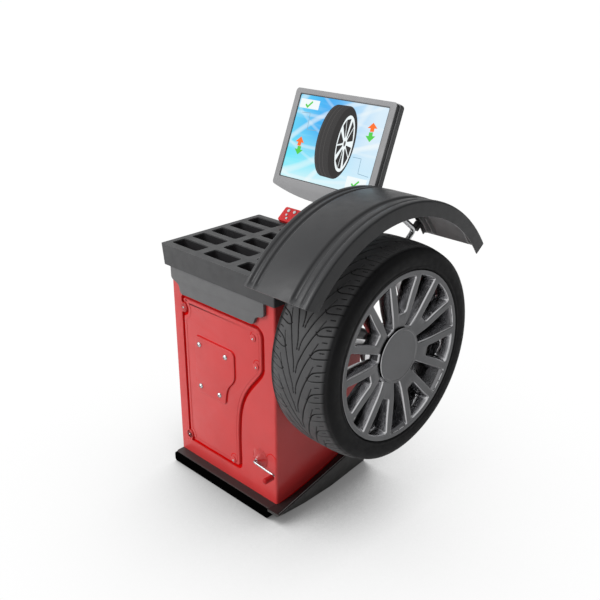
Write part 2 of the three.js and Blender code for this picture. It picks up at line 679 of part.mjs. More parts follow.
// ---------- wheel guard ----------
// Pressed section: (x, drop below the crown), from the inner rim across two ribs to the outer wall.
const GUARD_SECTION = [
  [0, 13], [1, 3], [5, 1], [13, 2], [17, 7], [26, 7], [29, 1], [37, 1], [41, 6], [46, 6], [50, 0], [172, 0],
  [178, 7], [188, 7], [191, 1], [207, 1], [212, 5], [218, 0], [230, 0], [233.5, 3.5], [236, 46],
];

const WALL_TURN = 225; // beyond this x the sheet turns down into the outer wall

function guardShell() {
  const { thickness: t, inner, r, stations } = GUARD;
  const top = GUARD_SECTION.map(([x, drop]) => V2(inner + x, r - drop));
  const under = GUARD_SECTION.map(([x, drop], i) => {
    const atLip = i === 0 || i === GUARD_SECTION.length - 1;
    return V2(inner + (x > WALL_TURN ? x - t : Math.max(x, t)), r - drop - (atLip ? 0 : t));
  });
  const outline = [...under, ...top.reverse()];
  const sections = Array.from({ length: stations + 1 }, () => outline);
  const angle = (k) => (GUARD.rear + ((GUARD.front - GUARD.rear) * k) / stations) * RAD;
  return loft(sections, (k, p) => V3(p.x, p.y * Math.cos(angle(k)), GUARD.z + p.y * Math.sin(angle(k))));
}

function guardArm() {
  const { x, pivotY, pivotZ, elbowY, elbowZ, endY, endZ } = ARM;
  const points = [V3(104, pivotY, pivotZ), V3(x, pivotY, pivotZ), V3(x, elbowY, elbowZ), V3(x, endY, endZ)];
  const bar = bentBar(points, ARM.r, 22);
  const collar = cylinder('x', ARM.r + 5, 141, 149, pivotY, pivotZ, 20);
  return union(bar, collar, guardStrap(endY + 12, endZ - 10, 14), guardStrap(elbowY + 2, elbowZ + 4, 12));
}

// Short block that fills the room between the arm and the underside of the guard.
function guardStrap(y, z, half) {
  const angle = Math.atan2(z - GUARD.z, y);
  const reach = GUARD.r - 12 - GUARD.thickness - GAP;
  const from = Math.hypot(y, z - GUARD.z) - 4;
  const block = box(ARM.x - 8, ARM.x + 18, -half, half, from, reach);
  return block.rotateX(angle - Math.PI / 2).translate(0, 0, GUARD.z);
}

function guardBracket() {
  const y = CAB.halfY + GAP;
  const { pivotY: py, pivotZ: pz } = ARM;
  const side = [
    V2(y, 600), V2(y + 8, 600), V2(py + 20, pz - 60), V2(py + 20, pz + 16),
    V2(py - 17, pz + 16), V2(py - 17, pz - 48), V2(y, pz - 60),
  ];
  const plate = box(112, 241, y, y + 7, 600, pz - 60);
  const bore = cylinder('x', ARM.r + 0.6, 100, 250, py, pz, 24);
  return cut(union(prismX(side, 112, 134), prismX(side, 219, 241), plate), bore);
}

function limitSwitch() {
  const { pivotY: py, pivotZ: pz } = ARM;
  const body = box(156, 182, py - 12, py + 12, pz - 50, pz - 18);
  const plunger = cylinder('x', 4, 158, 180, py, pz - 16, 10);
  const seat = box(150, 188, CAB.halfY + 8, py + 12, pz - 62, pz - 48);
  return union(body, plunger, seat);
}

// ---------- monitor ----------
// Local frame: x along the top edge, y up the face, z out of the face; origin at the pivot behind it.
const PIVOT_BEHIND = 80;
const monitor = new THREE.Group();
const lean = SCREEN.tilt * RAD;
const faceMiddle = SCREEN.height / 2;
const middleY = SCREEN.topY - faceMiddle * Math.sin(lean) + PIVOT_BEHIND * Math.cos(lean);
const middleZ = SCREEN.topZ - faceMiddle * Math.cos(lean) - PIVOT_BEHIND * Math.sin(lean);
monitor.position.set(SCREEN.x, middleY, middleZ);
monitor.rotation.x = Math.PI / 2 - lean;
machine.add(monitor);

function bezelOutline(grow) {
  const [w, h] = [SCREEN.width / 2 + grow, SCREEN.height / 2 + grow];
  const r = SCREEN.corner + grow;
  const s = new THREE.Shape();
  s.moveTo(w, -h + r);
  s.lineTo(w, h - r);
  s.absarc(w - r, h - r, r, 0, Math.PI / 2, false);
  s.absarc(-w + r, h - r, r, Math.PI / 2, Math.PI, false);
  s.lineTo(-w, -h + r);
  s.absarc(-w + r, -h + r, r, Math.PI, 1.35 * Math.PI, false);
  const [footX, footY] = [w - r + r * Math.cos(1.65 * Math.PI), -h + r + r * Math.sin(1.65 * Math.PI)];
  s.quadraticCurveTo(0, -h - 2 * SCREEN.bow, footX, footY);
  s.absarc(w - r, -h + r, r, 1.65 * Math.PI, 2 * Math.PI, false);
  return s;
}

const GLASS = { left: -190, right: 190, top: 147, bottom: -133 };

function monitorBezel() {
  const front = PIVOT_BEHIND;
  const { left, right, top, bottom } = GLASS;
  const frame = prismZ(bezelOutline(0), front - 14, front);
  const back = [left, right, bottom, top];
  const window = draftedBlock(back, [left - 2, right + 2, bottom - 2, top + 2], front - 15, front + 1, 4);
  return cut(frame, window);
}

function monitorGlass() {
  const front = PIVOT_BEHIND;
  const { left, right, top, bottom } = GLASS;
  const pane = roundedRect(left + 1, right - 1, bottom + 1, top - 1, 4);
  return prismZ(pane, front - 13, front - 4);
}

function monitorShell() {
  const front = PIVOT_BEHIND;
  const neck = prismZ(bezelOutline(-5), front - 20, front - 14 - GAP);
  const back = prismZ(bezelOutline(0), front - 42, front - 20);
  const bulge = draftedBlock([-130, 130, -100, 100], [-170, 170, -130, 130], front - 56, front - 41, 14, 3);
  const mount = box(-50, 50, -50, 50, front - 58, front - 50);
  return union(neck, back, bulge, mount);
}

function monitorYoke() {
  const plate = box(-50, 50, -50, 50, 14, PIVOT_BEHIND - 58 - GAP);
  const knuckle = cylinder('x', 11, -16, 16, 0, 0, 20);
  const pin = cylinder('x', 5, -36, 36, 0, 0, 16);
  return union(plate, knuckle, box(-16, 16, -10, 10, -2, 16), pin);
}

function monitorPost() {
  const y = CAB.halfY + GAP;
  const x = SCREEN.x;
  const topY = middleY + 26;
  const path = [
    V3(x, POST.y, POST.footZ + 10), V3(x, POST.y, 850), V3(x, topY, 950), V3(x, topY, middleZ - 34),
  ];
  const post = bentBar(path, POST.r, 40);
  const clamps = POST.clampZ.map((z) => box(x - 30, x + 30, y, POST.y + 6, z, z + 22));
  const foot = box(x - 32, x + 32, y, y + 8, POST.footZ, POST.backPlateTop);
  const head = box(x - 30, x + 30, middleY - 8, middleY + 50, middleZ - 44, middleZ - 26);
  const web = [
    V2(middleY, middleZ - 34), V2(middleY + 36, middleZ - 34),
    V2(middleY + 10, middleZ + 7), V2(middleY - 8, middleZ - 9),
  ];
  const cheeks = [x - 30, x + 20].flatMap((from) => [
    prismX(web, from, from + 10),
    cylinder('x', 12, from, from + 10, middleY, middleZ, 16),
  ]);
  const pinHole = cylinder('x', 5.5, x - 40, x + 40, middleY, middleZ, 16);
  return cut(union(post, ...clamps, foot, head, ...cheeks), pinHole);
}

// ---------- assembly ----------
add('base_plinth', basePlinth(), 'black');
add('base_cover', baseCover(), 'darkPlastic');
add('cabinet_shell', cabinetShell(), 'red');
add('front_panel', frontPanel(), 'red');
addFasteners();
add('weight_tray', weightTray(), 'darkPlastic');
add('tray_apron', trayApron(), 'greyPlastic');
addKeys();
add('spindle_housing', spindleHousing(), 'darkSteel');
add('spindle_column', spindleColumn(), 'darkSteel');
add('bearing_rear', bearing(BEARING.rearX), 'steel');
add('bearing_front', bearing(BEARING.frontX), 'steel');
add('piezo_sensor_vertical', piezoVertical(), 'copper');
add('piezo_sensor_horizontal', piezoHorizontal(), 'copper');
add('spindle_shaft', spindleShaft(), 'steel');
add('encoder_disc', onShaft(46, 49, 62, 0.5), 'aluminium');
add('spindle_pulley', pulley(BELT.bigR, SHAFT.r + GAP, AXIS_Z, 30), 'aluminium');
add('brake_drum', onShaft(DRUM.x - DRUM.width / 2, DRUM.x + DRUM.width / 2, DRUM.r, 2), 'darkSteel');
add('backplate_flange', backplateFlange(), 'black');
add('centring_cone', centringCone(), 'steel');
add('cone_spring', coneSpring(), 'steel');
add('quick_nut', quickNut(), 'darkSteel');
add('wheel_rim', wheelRim(), 'alloy');
add('tyre', tyre(), 'rubber');
add('hub_cap', hubCap(), 'alloy');
add('drive_motor', driveMotor(), 'darkSteel');
add('motor_pulley', motorPulley(), 'aluminium');
add('drive_belt', driveBelt(), 'rubber');
add('control_board_box', controlBox(), 'aluminium');
add('mains_socket', mainsSocket(), 'black');
add('mains_rocker', mainsRocker(), 'black');
add('pedal_boss', pedalBoss(), 'red');
add('brake_pedal', pedalLever(), 'chrome');
add('pedal_grip', pedalGrip(), 'red');
add('brake_rod', brakeRod(), 'steel');
add('brake_shoe', brakeShoe(), 'rubber');
add('wheel_guard', guardShell(), 'darkPlastic');
add('guard_arm', guardArm(), 'steel');
add('guard_bracket', guardBracket(), 'darkSteel');
add('guard_limit_switch', limitSwitch(), 'black');
add('monitor_post', monitorPost(), 'darkPlastic');
add('monitor_bezel', monitorBezel(), 'silver', monitor);
add('monitor_glass', monitorGlass(), 'glass', monitor);
add('monitor_shell', monitorShell(), 'silver', monitor);
add('monitor_yoke', monitorYoke(), 'darkSteel', monitor);

export default machine;
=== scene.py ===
"""Looks of the wheel balancer machine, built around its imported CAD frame. Lengths are in millimetres."""
import json
import math

import bmesh
import bpy
import numpy as np
from mathutils import Matrix, Vector
from mathutils.geometry import tessellate_polygon


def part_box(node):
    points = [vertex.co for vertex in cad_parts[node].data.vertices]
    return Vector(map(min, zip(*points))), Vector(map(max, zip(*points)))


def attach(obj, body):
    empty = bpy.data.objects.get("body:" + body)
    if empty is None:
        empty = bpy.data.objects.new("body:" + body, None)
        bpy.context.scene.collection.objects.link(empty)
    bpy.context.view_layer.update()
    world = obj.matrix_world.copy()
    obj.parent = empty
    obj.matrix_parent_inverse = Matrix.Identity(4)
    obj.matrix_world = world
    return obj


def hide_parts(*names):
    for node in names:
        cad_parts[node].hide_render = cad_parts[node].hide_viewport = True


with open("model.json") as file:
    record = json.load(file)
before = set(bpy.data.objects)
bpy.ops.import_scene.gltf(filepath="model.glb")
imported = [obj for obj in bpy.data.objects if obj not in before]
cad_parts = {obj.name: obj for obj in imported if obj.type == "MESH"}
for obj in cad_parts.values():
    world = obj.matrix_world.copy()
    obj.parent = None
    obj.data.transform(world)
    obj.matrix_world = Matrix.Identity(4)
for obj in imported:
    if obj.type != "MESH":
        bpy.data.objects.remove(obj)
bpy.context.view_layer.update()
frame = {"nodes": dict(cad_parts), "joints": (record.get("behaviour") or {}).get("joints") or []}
MM = 0.001
SCENE = bpy.context.scene


def joint(name):
    return next(j for j in frame["joints"] if j["name"] == name)


def box_mm(node):
    """Lowest and highest corners of a CAD node, in millimetres."""
    low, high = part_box(node)
    return low / MM, high / MM


# ---------- driving dimensions, millimetres ----------
CAB_LOW, CAB_HIGH = box_mm("cabinet_shell")
TRAY_LOW, TRAY_HIGH = box_mm("weight_tray")
PLINTH_LOW, PLINTH_HIGH = box_mm("base_plinth")
COVER_LOW, COVER_HIGH = box_mm("base_cover")
HOOD_LOW, HOOD_HIGH = box_mm("wheel_guard")
TYRE_LOW, TYRE_HIGH = box_mm("tyre")
RIM_LOW, RIM_HIGH = box_mm("wheel_rim")
AXIS = Vector(joint("spindle_spin")["pos_m"]) / MM
PEDAL_AXIS = Vector(joint("pedal_press")["pos_m"]) / MM
SCREEN_PIVOT = Vector(joint("monitor_tilt")["pos_m"]) / MM
FRONT = CAB_LOW.y  # the cabinet's front face
CAB_CORNER = 8
# The guard is an arc about a line along x at height z, between two angles in degrees.
GUARD = {"z": 583, "radius": 488, "front": 142.3, "rear": 35, "rear_flap": 3, "thickness": 3.2}
SHEET = 4


# ---------- materials ----------
class Nodes:
    """Short forms for building a node tree."""

    def __init__(self, owner):
        owner.use_nodes = True
        self.tree = owner.node_tree

    def add(self, kind, **inputs):
        node = self.tree.nodes.new(kind)
        for key, value in inputs.items():
            self.put(node.inputs[key.replace("_", " ")], value)
        return node

    def put(self, socket, value):
        if isinstance(value, bpy.types.NodeSocket):
            self.tree.links.new(value, socket)
        else:
            socket.default_value = value

    def coordinates(self, kind):
        return self.add("ShaderNodeTexCoord").outputs[kind]

    def split(self, vector):
        return self.add("ShaderNodeSeparateXYZ", Vector=vector).outputs

    def attribute(self, name):
        node = self.add("ShaderNodeAttribute")
        node.attribute_name = name
        return node.outputs["Fac"]

    def ramp(self, value, low, high, to_low=0.0, to_high=1.0):
        limits = {"From_Min": low, "From_Max": high, "To_Min": to_low, "To_Max": to_high}
        return self.add("ShaderNodeMapRange", Value=value, **limits).outputs["Result"]

    def mix(self, factor, a, b):
        node = self.tree.nodes.new("ShaderNodeMix")
        node.data_type = "RGBA"
        self.put(node.inputs[0], factor)
        for socket, color in zip((node.inputs[6], node.inputs[7]), (a, b)):
            self.put(socket, color if isinstance(color, bpy.types.NodeSocket) else (*color, 1.0))
        return node.outputs[2]

    def math(self, operation, a, b=0.0):
        node = self.tree.nodes.new("ShaderNodeMath")
        node.operation = operation
        self.put(node.inputs[0], a)
        self.put(node.inputs[1], b)
        return node.outputs[0]

    def vector_math(self, operation, a, b=None):
        node = self.tree.nodes.new("ShaderNodeVectorMath")
        node.operation = operation
        self.put(node.inputs[0], a)
        if b is not None:
            self.put(node.inputs[1], b)
        return node.outputs["Value"]


class Shader(Nodes):
    """A material on the Principled shader."""

    def __init__(self, name):
        self.material = bpy.data.materials.new(name)
        super().__init__(self.material)
        self.bsdf = self.tree.nodes["Principled BSDF"]
        self.coords = self.coordinates("Object")

    def noise(self, scale, detail=3.0, vector=None):
        vector = vector or self.coords
        return self.add("ShaderNodeTexNoise", Scale=scale, Detail=detail, Vector=vector).outputs["Fac"]

    def drift(self, low, high, scale=9, detail=4):
        """Colour that wanders slowly between two tones."""
        return self.mix(self.ramp(self.noise(scale, detail), 0.3, 0.7), low, high)

    def edge_highlight(self, tone, color, amount):
        """Painted highlight: shows the lighter colour in patches along convex and concave edges."""
        soft = self.add("ShaderNodeBevel", Radius=1.2 * MM)
        soft.samples = 4
        geometry = self.add("ShaderNodeNewGeometry")
        bend = self.vector_math("DOT_PRODUCT", soft.outputs["Normal"], geometry.outputs["Normal"])
        edges = self.ramp(bend, 0.995, 0.8)
        # Share of the painted edge highlight.
        highlight = self.math("MULTIPLY", edges, self.ramp(self.noise(120, 5), 0.35, 0.6, 0.1, amount))
        return self.mix(highlight, tone, color)

    def finish(self, tone, roughness, specular=0.5, metallic=0.0):
        self.put(self.bsdf.inputs["Base Color"], tone)
        self.put(self.bsdf.inputs["Roughness"], roughness)
        self.put(self.bsdf.inputs["Specular IOR Level"], specular)
        self.put(self.bsdf.inputs["Metallic"], metallic)

    def grain(self, strength, height, distance=0.4):
        """Fine surface relief; this is the last step and returns the material."""
        bump = self.add("ShaderNodeBump", Strength=strength, Distance=distance * MM, Height=height)
        self.put(self.bsdf.inputs["Normal"], bump.outputs["Normal"])
        return self.material


def shade(color, amount):
    return tuple(min(1.0, c * amount) for c in color)


def surface(name, color, roughness, metallic=0.0, grain=(900, 0.08), edge_highlight=None, specular=0.5, coat=0.0):
    """A painted, moulded or metal surface: drifting colour, fine grain, smudged roughness and painted
    highlights along the edges.
    """
    s = Shader(name)
    tone = s.drift(shade(color, 0.93), shade(color, 1.06), 7)
    smudge = s.ramp(s.noise(34, 6), 0.35, 0.7, -0.05, 0.08)
    if edge_highlight:
        tone = s.edge_highlight(tone, *edge_highlight)
    s.finish(tone, s.math("ADD", smudge, roughness), specular, metallic)
    s.bsdf.inputs["Coat Weight"].default_value = coat
    s.bsdf.inputs["Coat Roughness"].default_value = 0.2
    return s.grain(grain[1], s.noise(grain[0], 2))


def brushed(name, color, roughness, stretch):
    """Metal with fine lines: the grain is stretched along the axes where stretch is small."""
    s = Shader(name)
    scaled = s.add("ShaderNodeMapping", Vector=s.coords, Scale=stretch)
    lines = s.noise(600, 2, scaled.outputs["Vector"])
    tone = s.drift(shade(color, 0.88), shade(color, 1.1))
    s.finish(tone, s.ramp(lines, 0.3, 0.7, roughness - 0.04, roughness + 0.06), metallic=1.0)
    return s.grain(0.05, lines, 0.3)


def tyre_rubber():
    """Rubber with painted shade that darkens its grooves; it is paler on the tread blocks."""
    s = Shader("tyre_rubber")
    tread = s.attribute("tread")
    block = s.drift((0.052, 0.052, 0.053), (0.068, 0.068, 0.070), 11, 5)
    wall = s.drift((0.005, 0.005, 0.0055), (0.008, 0.008, 0.0085), 11, 5)
    # Painted shade in the grooves.
    tone = s.mix(s.ramp(s.attribute("groove"), 0.1, 0.7), s.mix(tread, wall, block), (0.006, 0.006, 0.006))
    s.finish(tone, s.ramp(s.noise(60, 5), 0.3, 0.7, 0.48, 0.62), s.ramp(tread, 0, 1, 0.1, 0.2))
    return s.grain(0.12, s.noise(1100, 3))


def alloy(name, wall):
    """Satin faces square to the axle; polished walls and edges with their own tone, a painted reflection that
    is lighter on the spokes and darker inside the barrel.
    """
    s = Shader(name)
    normal = s.split(s.coordinates("Normal"))
    square = s.ramp(s.math("ABSOLUTE", normal["X"]), 0.70, 0.97)
    face = s.drift((0.100, 0.101, 0.104), (0.120, 0.121, 0.125))
    # The wall tone is a painted reflection.
    tone = s.mix(square, s.drift(shade(wall, 0.9), shade(wall, 1.1)), face)
    smudge = s.ramp(s.noise(50, 4), 0, 1, -0.02, 0.03)
    s.finish(tone, s.math("ADD", s.ramp(square, 0, 1, 0.15, 0.25), smudge), metallic=1.0)
    return s.grain(0.02, s.noise(700, 2), 0.3)


def wing_plastic():
    """One plastic in painted light: grey on the outer face of the base wing, brown-black with painted red
    light from the cabinet on its upper side.
    """
    s = Shader("wing_plastic")
    outer = s.ramp(s.split(s.coordinates("Normal"))["Z"], 0.3, 0.0)
    grey = s.drift((0.040, 0.039, 0.038), (0.050, 0.049, 0.048))
    red_reflected = s.drift((0.012, 0.007, 0.007), (0.018, 0.010, 0.010))
    s.finish(s.mix(outer, red_reflected, grey), s.ramp(s.noise(40, 4), 0.3, 0.7, 0.5, 0.62), 0.2)
    return s.grain(0.12, s.noise(1200, 2))


def hood_plastic():
    """The guard's plastic: dark and slightly glossy outside with painted highlights along its edges; the
    paler underside is painted light.
    """
    s = Shader("hood_plastic")
    normal, place = s.split(s.coordinates("Normal")), s.split(s.coords)
    height = s.math("SUBTRACT", place["Z"], GUARD["z"] * MM)
    along_y, along_z = s.math("MULTIPLY", normal["Y"], place["Y"]), s.math("MULTIPLY", normal["Z"], height)
    # Mask of the underside, which gets painted light.
    inside = s.ramp(s.math("ADD", along_y, along_z), -0.1, -0.3)
    outer = s.edge_highlight(s.drift((0.0215, 0.022, 0.0235), (0.025, 0.0255, 0.027), 7), (0.24, 0.24, 0.24), 0.7)
    under = s.drift((0.11, 0.11, 0.112), (0.13, 0.13, 0.132), 7)
    s.finish(s.mix(inside, outer, under), s.ramp(s.noise(34, 6), 0.35, 0.7, 0.32, 0.45), 0.3)
    return s.grain(0.14, s.noise(1500, 2))


def lit(s, tone, strength):
    """Finishes a colour that the display gives off."""
    s.finish((0.01, 0.01, 0.01, 1), 0.5, 0.04)
    s.put(s.bsdf.inputs["Emission Color"], tone)
    s.bsdf.inputs["Emission Strength"].default_value = strength
    return s.material


def glow(name, color, drift=0.05):
    """A lit colour on the display, with a faint pixel raster."""
    s = Shader(name)
    raster = s.ramp(s.noise(2500, 1), 0.3, 0.7)
    return lit(s, s.mix(raster, shade(color, 1 - drift), shade(color, 1 + drift)), 1.0)


# Rings of light on the display: centre (across, up), frequency, phase, strength.
DISPLAY_RINGS = (((1.3, -0.5), 12.4, 0.4, 0.5), ((-0.5, 1.3), 9.2, 1.9, 0.45),
                 ((0.25, 1.9), 17.2, 0.9, 0.35), ((0.9, 1.6), 20.8, 2.6, 0.25))


def display_background():
    """Azure on the left fading to pale blue on the right and bottom, crossed by soft white arcs and rays."""
    s = Shader("display_background")
    uv = s.coordinates("UV")
    across, up = s.split(uv)["X"], s.split(uv)["Y"]
    azure = s.mix(s.ramp(across, 0.0, 0.42), (0.14, 0.68, 0.98), (0.02, 0.38, 0.93))
    pale = s.mix(s.ramp(across, 0.45, 0.9), (0.20, 0.60, 0.98), (0.72, 0.88, 1.0))
    tone = s.mix(s.ramp(across, 0.3, 0.62), azure, pale)
    cyan = s.mix(s.ramp(across, 0.0, 0.8), (0.14, 0.86, 1.0), (0.62, 0.86, 1.0))
    tone = s.mix(s.ramp(up, 0.62, 0.22), tone, cyan)
    tone = s.mix(s.ramp(up, 0.20, -0.02, 0.0, 0.85), tone, (0.80, 0.97, 1.0))
    for (x, y), frequency, phase, strength in DISPLAY_RINGS:
        moved = s.add("ShaderNodeMapping", Vector=uv, Location=(-x, -y, 0))
        away = s.vector_math("LENGTH", moved.outputs["Vector"])
        wave = s.math("SINE", s.math("ADD", s.math("MULTIPLY", away, frequency), phase))
        tone = s.mix(s.ramp(wave, 0.90, 1.0, 0.0, strength), tone, (0.95, 1.0, 1.0))
    rays = s.add("ShaderNodeMapping", Vector=uv, Rotation=(0, 0, 0.9), Scale=(1.0, 9.0, 1.0))
    ray = s.ramp(s.noise(1.6, 2, rays.outputs["Vector"]), 0.5, 0.72, 0.0, 0.22)
    return lit(s, s.mix(ray, tone, (0.85, 0.97, 1.0)), 0.95)


# The second red is the lighter red of painted edge highlights.
RED, RED_HIGHLIGHT = (0.52, 0.036, 0.036), (0.75, 0.16, 0.13)


def grey(level):
    return (level, level, level)


# The (colour, amount) pairs after the grain give painted highlights along the edges.
LOOKS = {
    "red": surface("red_paint", RED, 0.34, 0, (520, 0.05), (RED_HIGHLIGHT, 0.35), 0.35, 0.1),
    # Saturated red painted where the red sheet lies in shade: grooves, walls and dark lines.
    "red_painted_shade": surface("red_in_shadow", (0.62, 0.003, 0.003), 0.6, 0, (520, 0.05), specular=0.05),
    "red_plastic": surface("red_plastic", (0.50, 0.012, 0.014), 0.45, 0, (900, 0.06), (RED_HIGHLIGHT, 0.2), 0.25),
    # Dark red of painted shade on the folded hem.
    "red_hem_painted_shade": surface("red_hem_painted_shade", (0.50, 0.001, 0.001), 0.7, specular=0.02),
    "cone": surface("cone_red", (0.40, 0.016, 0.016), 0.25, 0, (520, 0.05), (RED_HIGHLIGHT, 0.9)),
    "grip": surface("grip_red", (0.36, 0.004, 0.006), 0.5, 0, (900, 0.06), specular=0.25),
    "tray": surface("tray_plastic", (0.046, 0.0465, 0.048), 0.52, 0, (1300, 0.16), (grey(0.2), 0.5), 0.3),
    "apron": surface("apron_plastic", (0.115, 0.116, 0.118), 0.58, 0, (1300, 0.16), (grey(0.3), 0.4), 0.3),
    # Near-black painted shade inside the deep bins.
    "bin": surface("bin_painted_shade", (0.010, 0.010, 0.011), 0.8, 0, (1300, 0.16), specular=0.2),
    "hood": surface("hood_fittings", (0.024, 0.0245, 0.026), 0.37, 0, (1500, 0.14), (grey(0.24), 0.7), 0.3),
    "lip": surface("black_lip", grey(0.001), 0.95, 0, (1200, 0.1), specular=0.0),
    # The ledge's brown-red tone is painted red light reflected from the cabinet; its edge colour is a painted
    # highlight.
    "ledge": surface("ledge_plastic_red_reflection", (0.022, 0.011, 0.011), 0.6, 0, (1200, 0.12), ((0.1, 0.06, 0.06), 0.5)),
    # Lighter grey of a painted highlight on the wing's rim bead.
    "bead_painted_highlight": surface("wing_bead_painted_highlight", grey(0.09), 0.4, 0, (1200, 0.1)),
    "black": surface("black_plastic", (0.008, 0.008, 0.009), 0.45, 0, (1200, 0.1)),
    "housing": surface("black_enamel", (0.014, 0.014, 0.015), 0.3, 0, (300, 0.05), (grey(0.2), 0.3)),
    # Lighter wall tone: painted reflection on the spoke walls and edges.
    "alloy": alloy("alloy_painted_reflection", (0.46, 0.46, 0.47)),
    # Darker wall tone: painted shade inside the barrel.
    "barrel": alloy("barrel_alloy_painted_shade", (0.16, 0.16, 0.165)),
    "wing": wing_plastic(),
    "guard": hood_plastic(),
    "tyre": tyre_rubber(),
    "rod": surface("pedal_rod", (0.40, 0.42, 0.43), 0.24, 1.0, (500, 0.02)),
    "bolt": surface("bolt_steel", (0.50, 0.52, 0.53), 0.22, 1.0, (500, 0.02)),
    "steel": brushed("turned_steel", (0.42, 0.43, 0.44), 0.3, (9, 1, 1)),
    "tube": brushed("satin_tube", (0.55, 0.56, 0.57), 0.25, (1, 1, 0.2)),
    "aluminium": brushed("aluminium", (0.62, 0.63, 0.64), 0.35, (9, 1, 1)),
    "silver": surface("silver_bezel", (0.225, 0.225, 0.23), 0.45, 0, (1600, 0.05), (grey(0.4), 0.3), 0.3),
    "shell": surface("monitor_shell_grey", (0.062, 0.063, 0.065), 0.45, 0.1, (1600, 0.05), (grey(0.4), 0.4)),
    # Light grey of a painted highlight along the shell's front edge.
    "shell_edge_highlight": surface("monitor_edge_painted_highlight", (0.22, 0.22, 0.225), 0.35, 0.2, (1600, 0.05)),
    "screen_edge": surface("monitor_black", (0.006, 0.007, 0.009), 0.4, 0, (1200, 0.08)),
    "button": surface("button_grey", (0.50, 0.53, 0.54), 0.4, 0, (900, 0.05)),
    "copper": surface("copper", (0.36, 0.18, 0.07), 0.35, 0.9),
    "rubber": surface("rubber", grey(0.012), 0.8, 0, (900, 0.2)),
    "display": display_background(),
    "glow_white": glow("glow_white", (0.88, 0.95, 0.97)),
    "glow_green": glow("glow_green", (0.09, 0.62, 0.07)),
    "glow_orange": glow("glow_orange", (1.0, 0.17, 0.02)),
    "glow_line": glow("glow_line", (0.25, 0.42, 0.55)),
    "glow_tyre": glow("glow_tyre", (0.040, 0.038, 0.038), 0.4),
    "glow_wall": glow("glow_wall", (0.024, 0.022, 0.022), 0.1),
    "glow_groove": glow("glow_groove", (0.085, 0.080, 0.078)),
}


# ---------- mesh tools ----------
def link(name, mesh):
    obj = bpy.data.objects.new(name, mesh)
    SCENE.collection.objects.link(obj)
    return obj


def mesh_of(name, points, faces):
    """Mesh from points in millimetres."""
    mesh = bpy.data.meshes.new(name)
    mesh.from_pydata([tuple(c * MM for c in p) for p in points], [], faces)
    mesh.update()
    return mesh


def grid_faces(count, rows, ring_closed=True, rows_closed=False):
    """Quads between neighbouring rows of count points."""
    faces = []
    for k in range(rows if rows_closed else rows - 1):
        a, b = k * count, (k + 1) % rows * count
        faces += [(a + i, a + (i + 1) % count, b + (i + 1) % count, b + i)
                  for i in range(count if ring_closed else count - 1)]
    return faces


def modify(obj, kind, **settings):
    """Adds a modifier of a kind with its settings."""
    modifier = obj.modifiers.new(kind.lower(), kind)
    for key, value in settings.items():
        setattr(modifier, key, value)


def bake(obj):
    """Applies the object's modifiers."""
    graph = bpy.context.evaluated_depsgraph_get()
    mesh = bpy.data.meshes.new_from_object(obj.evaluated_get(graph))
    obj.modifiers.clear()
    obj.data = mesh
    return obj


def tidy_mesh(mesh, flatten=False):
    """Merges doubles, drops slivers and turns the faces outwards; flatten also joins coplanar faces."""
    work = bmesh.new()
    work.from_mesh(mesh)
    bmesh.ops.remove_doubles(work, verts=work.verts, dist=0.01 * MM)
    bmesh.ops.dissolve_degenerate(work, edges=work.edges, dist=0.002 * MM)
    bmesh.ops.recalc_face_normals(work, faces=work.faces)
    if flatten:
        bmesh.ops.dissolve_limit(work, angle_limit=math.radians(0.5), verts=work.verts, edges=work.edges)
    work.to_mesh(mesh)
    work.free()


def smooth(obj, angle=32):
    obj.data.shade_smooth()
    obj.data.set_sharp_from_angle(angle=math.radians(angle))
    return obj


def rounded(obj, width, segments=2, angle=30):
    """Rounds every edge sharper than the angle and keeps the flat faces flat."""
    obj.data.shade_smooth()
    modify(obj, "BEVEL", width=width * MM, segments=segments, limit_method="ANGLE", harden_normals=True,
           angle_limit=math.radians(angle), use_clamp_overlap=True, miter_outer="MITER_ARC")
    return bake(obj)


def carve(obj, cutters):
    """Cuts the cutters out of the object and removes them."""
    for cutter in cutters:
        modify(obj, "BOOLEAN", object=cutter, solver="EXACT", operation="DIFFERENCE")
    bake(obj)
    for cutter in cutters:
        bpy.data.objects.remove(cutter)
    tidy_mesh(obj.data)
    return obj


def joined(name, objects):
    """One object from several."""
    work = bmesh.new()
    for obj in objects:
        work.from_mesh(obj.data)
        bpy.data.objects.remove(obj)
    mesh = bpy.data.meshes.new(name)
    work.to_mesh(mesh)
    work.free()
    return link(name, mesh)


def disc_outline(u, v, radius):
    return arc(u, v, radius, 0, 360, 32)[:-1]


def polar(cx, cy, radius, degrees):
    """Point at an angle about a centre."""
    return cx + radius * math.cos(math.radians(degrees)), cy + radius * math.sin(math.radians(degrees))


def dress(obj, look, body, replaces=()):
    """Gives the piece its material, its body and the CAD nodes it stands for."""
    obj.data.materials.clear()
    obj.data.materials.append(LOOKS[look])
    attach(obj, body)
    if replaces:
        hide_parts(*replaces)
    return obj


def arc(cx, cy, radius, start, end, steps=6):
    """Points on an arc; angles in degrees."""
    return [polar(cx, cy, radius, start + (end - start) * k / steps) for k in range(steps + 1)]


def rounded_rect(x0, x1, y0, y1, radius, steps=6):
    corners = ((x1 - radius, y0 + radius, -90), (x1 - radius, y1 - radius, 0),
               (x0 + radius, y1 - radius, 90), (x0 + radius, y0 + radius, 180))
    return [p for cx, cy, a in corners for p in arc(cx, cy, radius, a, a + 90, steps)]


def bend(points, p1, p2, p3, steps=10):
    """Adds a cubic curve from the outline's last point to p3."""
    p0 = points[-1]
    for k in range(1, steps + 1):
        t = k / steps
        weights = ((1 - t) ** 3, 3 * t * (1 - t) ** 2, 3 * t * t * (1 - t), t ** 3)
        points.append(tuple(sum(w * p[i] for w, p in zip(weights, (p0, p1, p2, p3))) for i in range(2)))


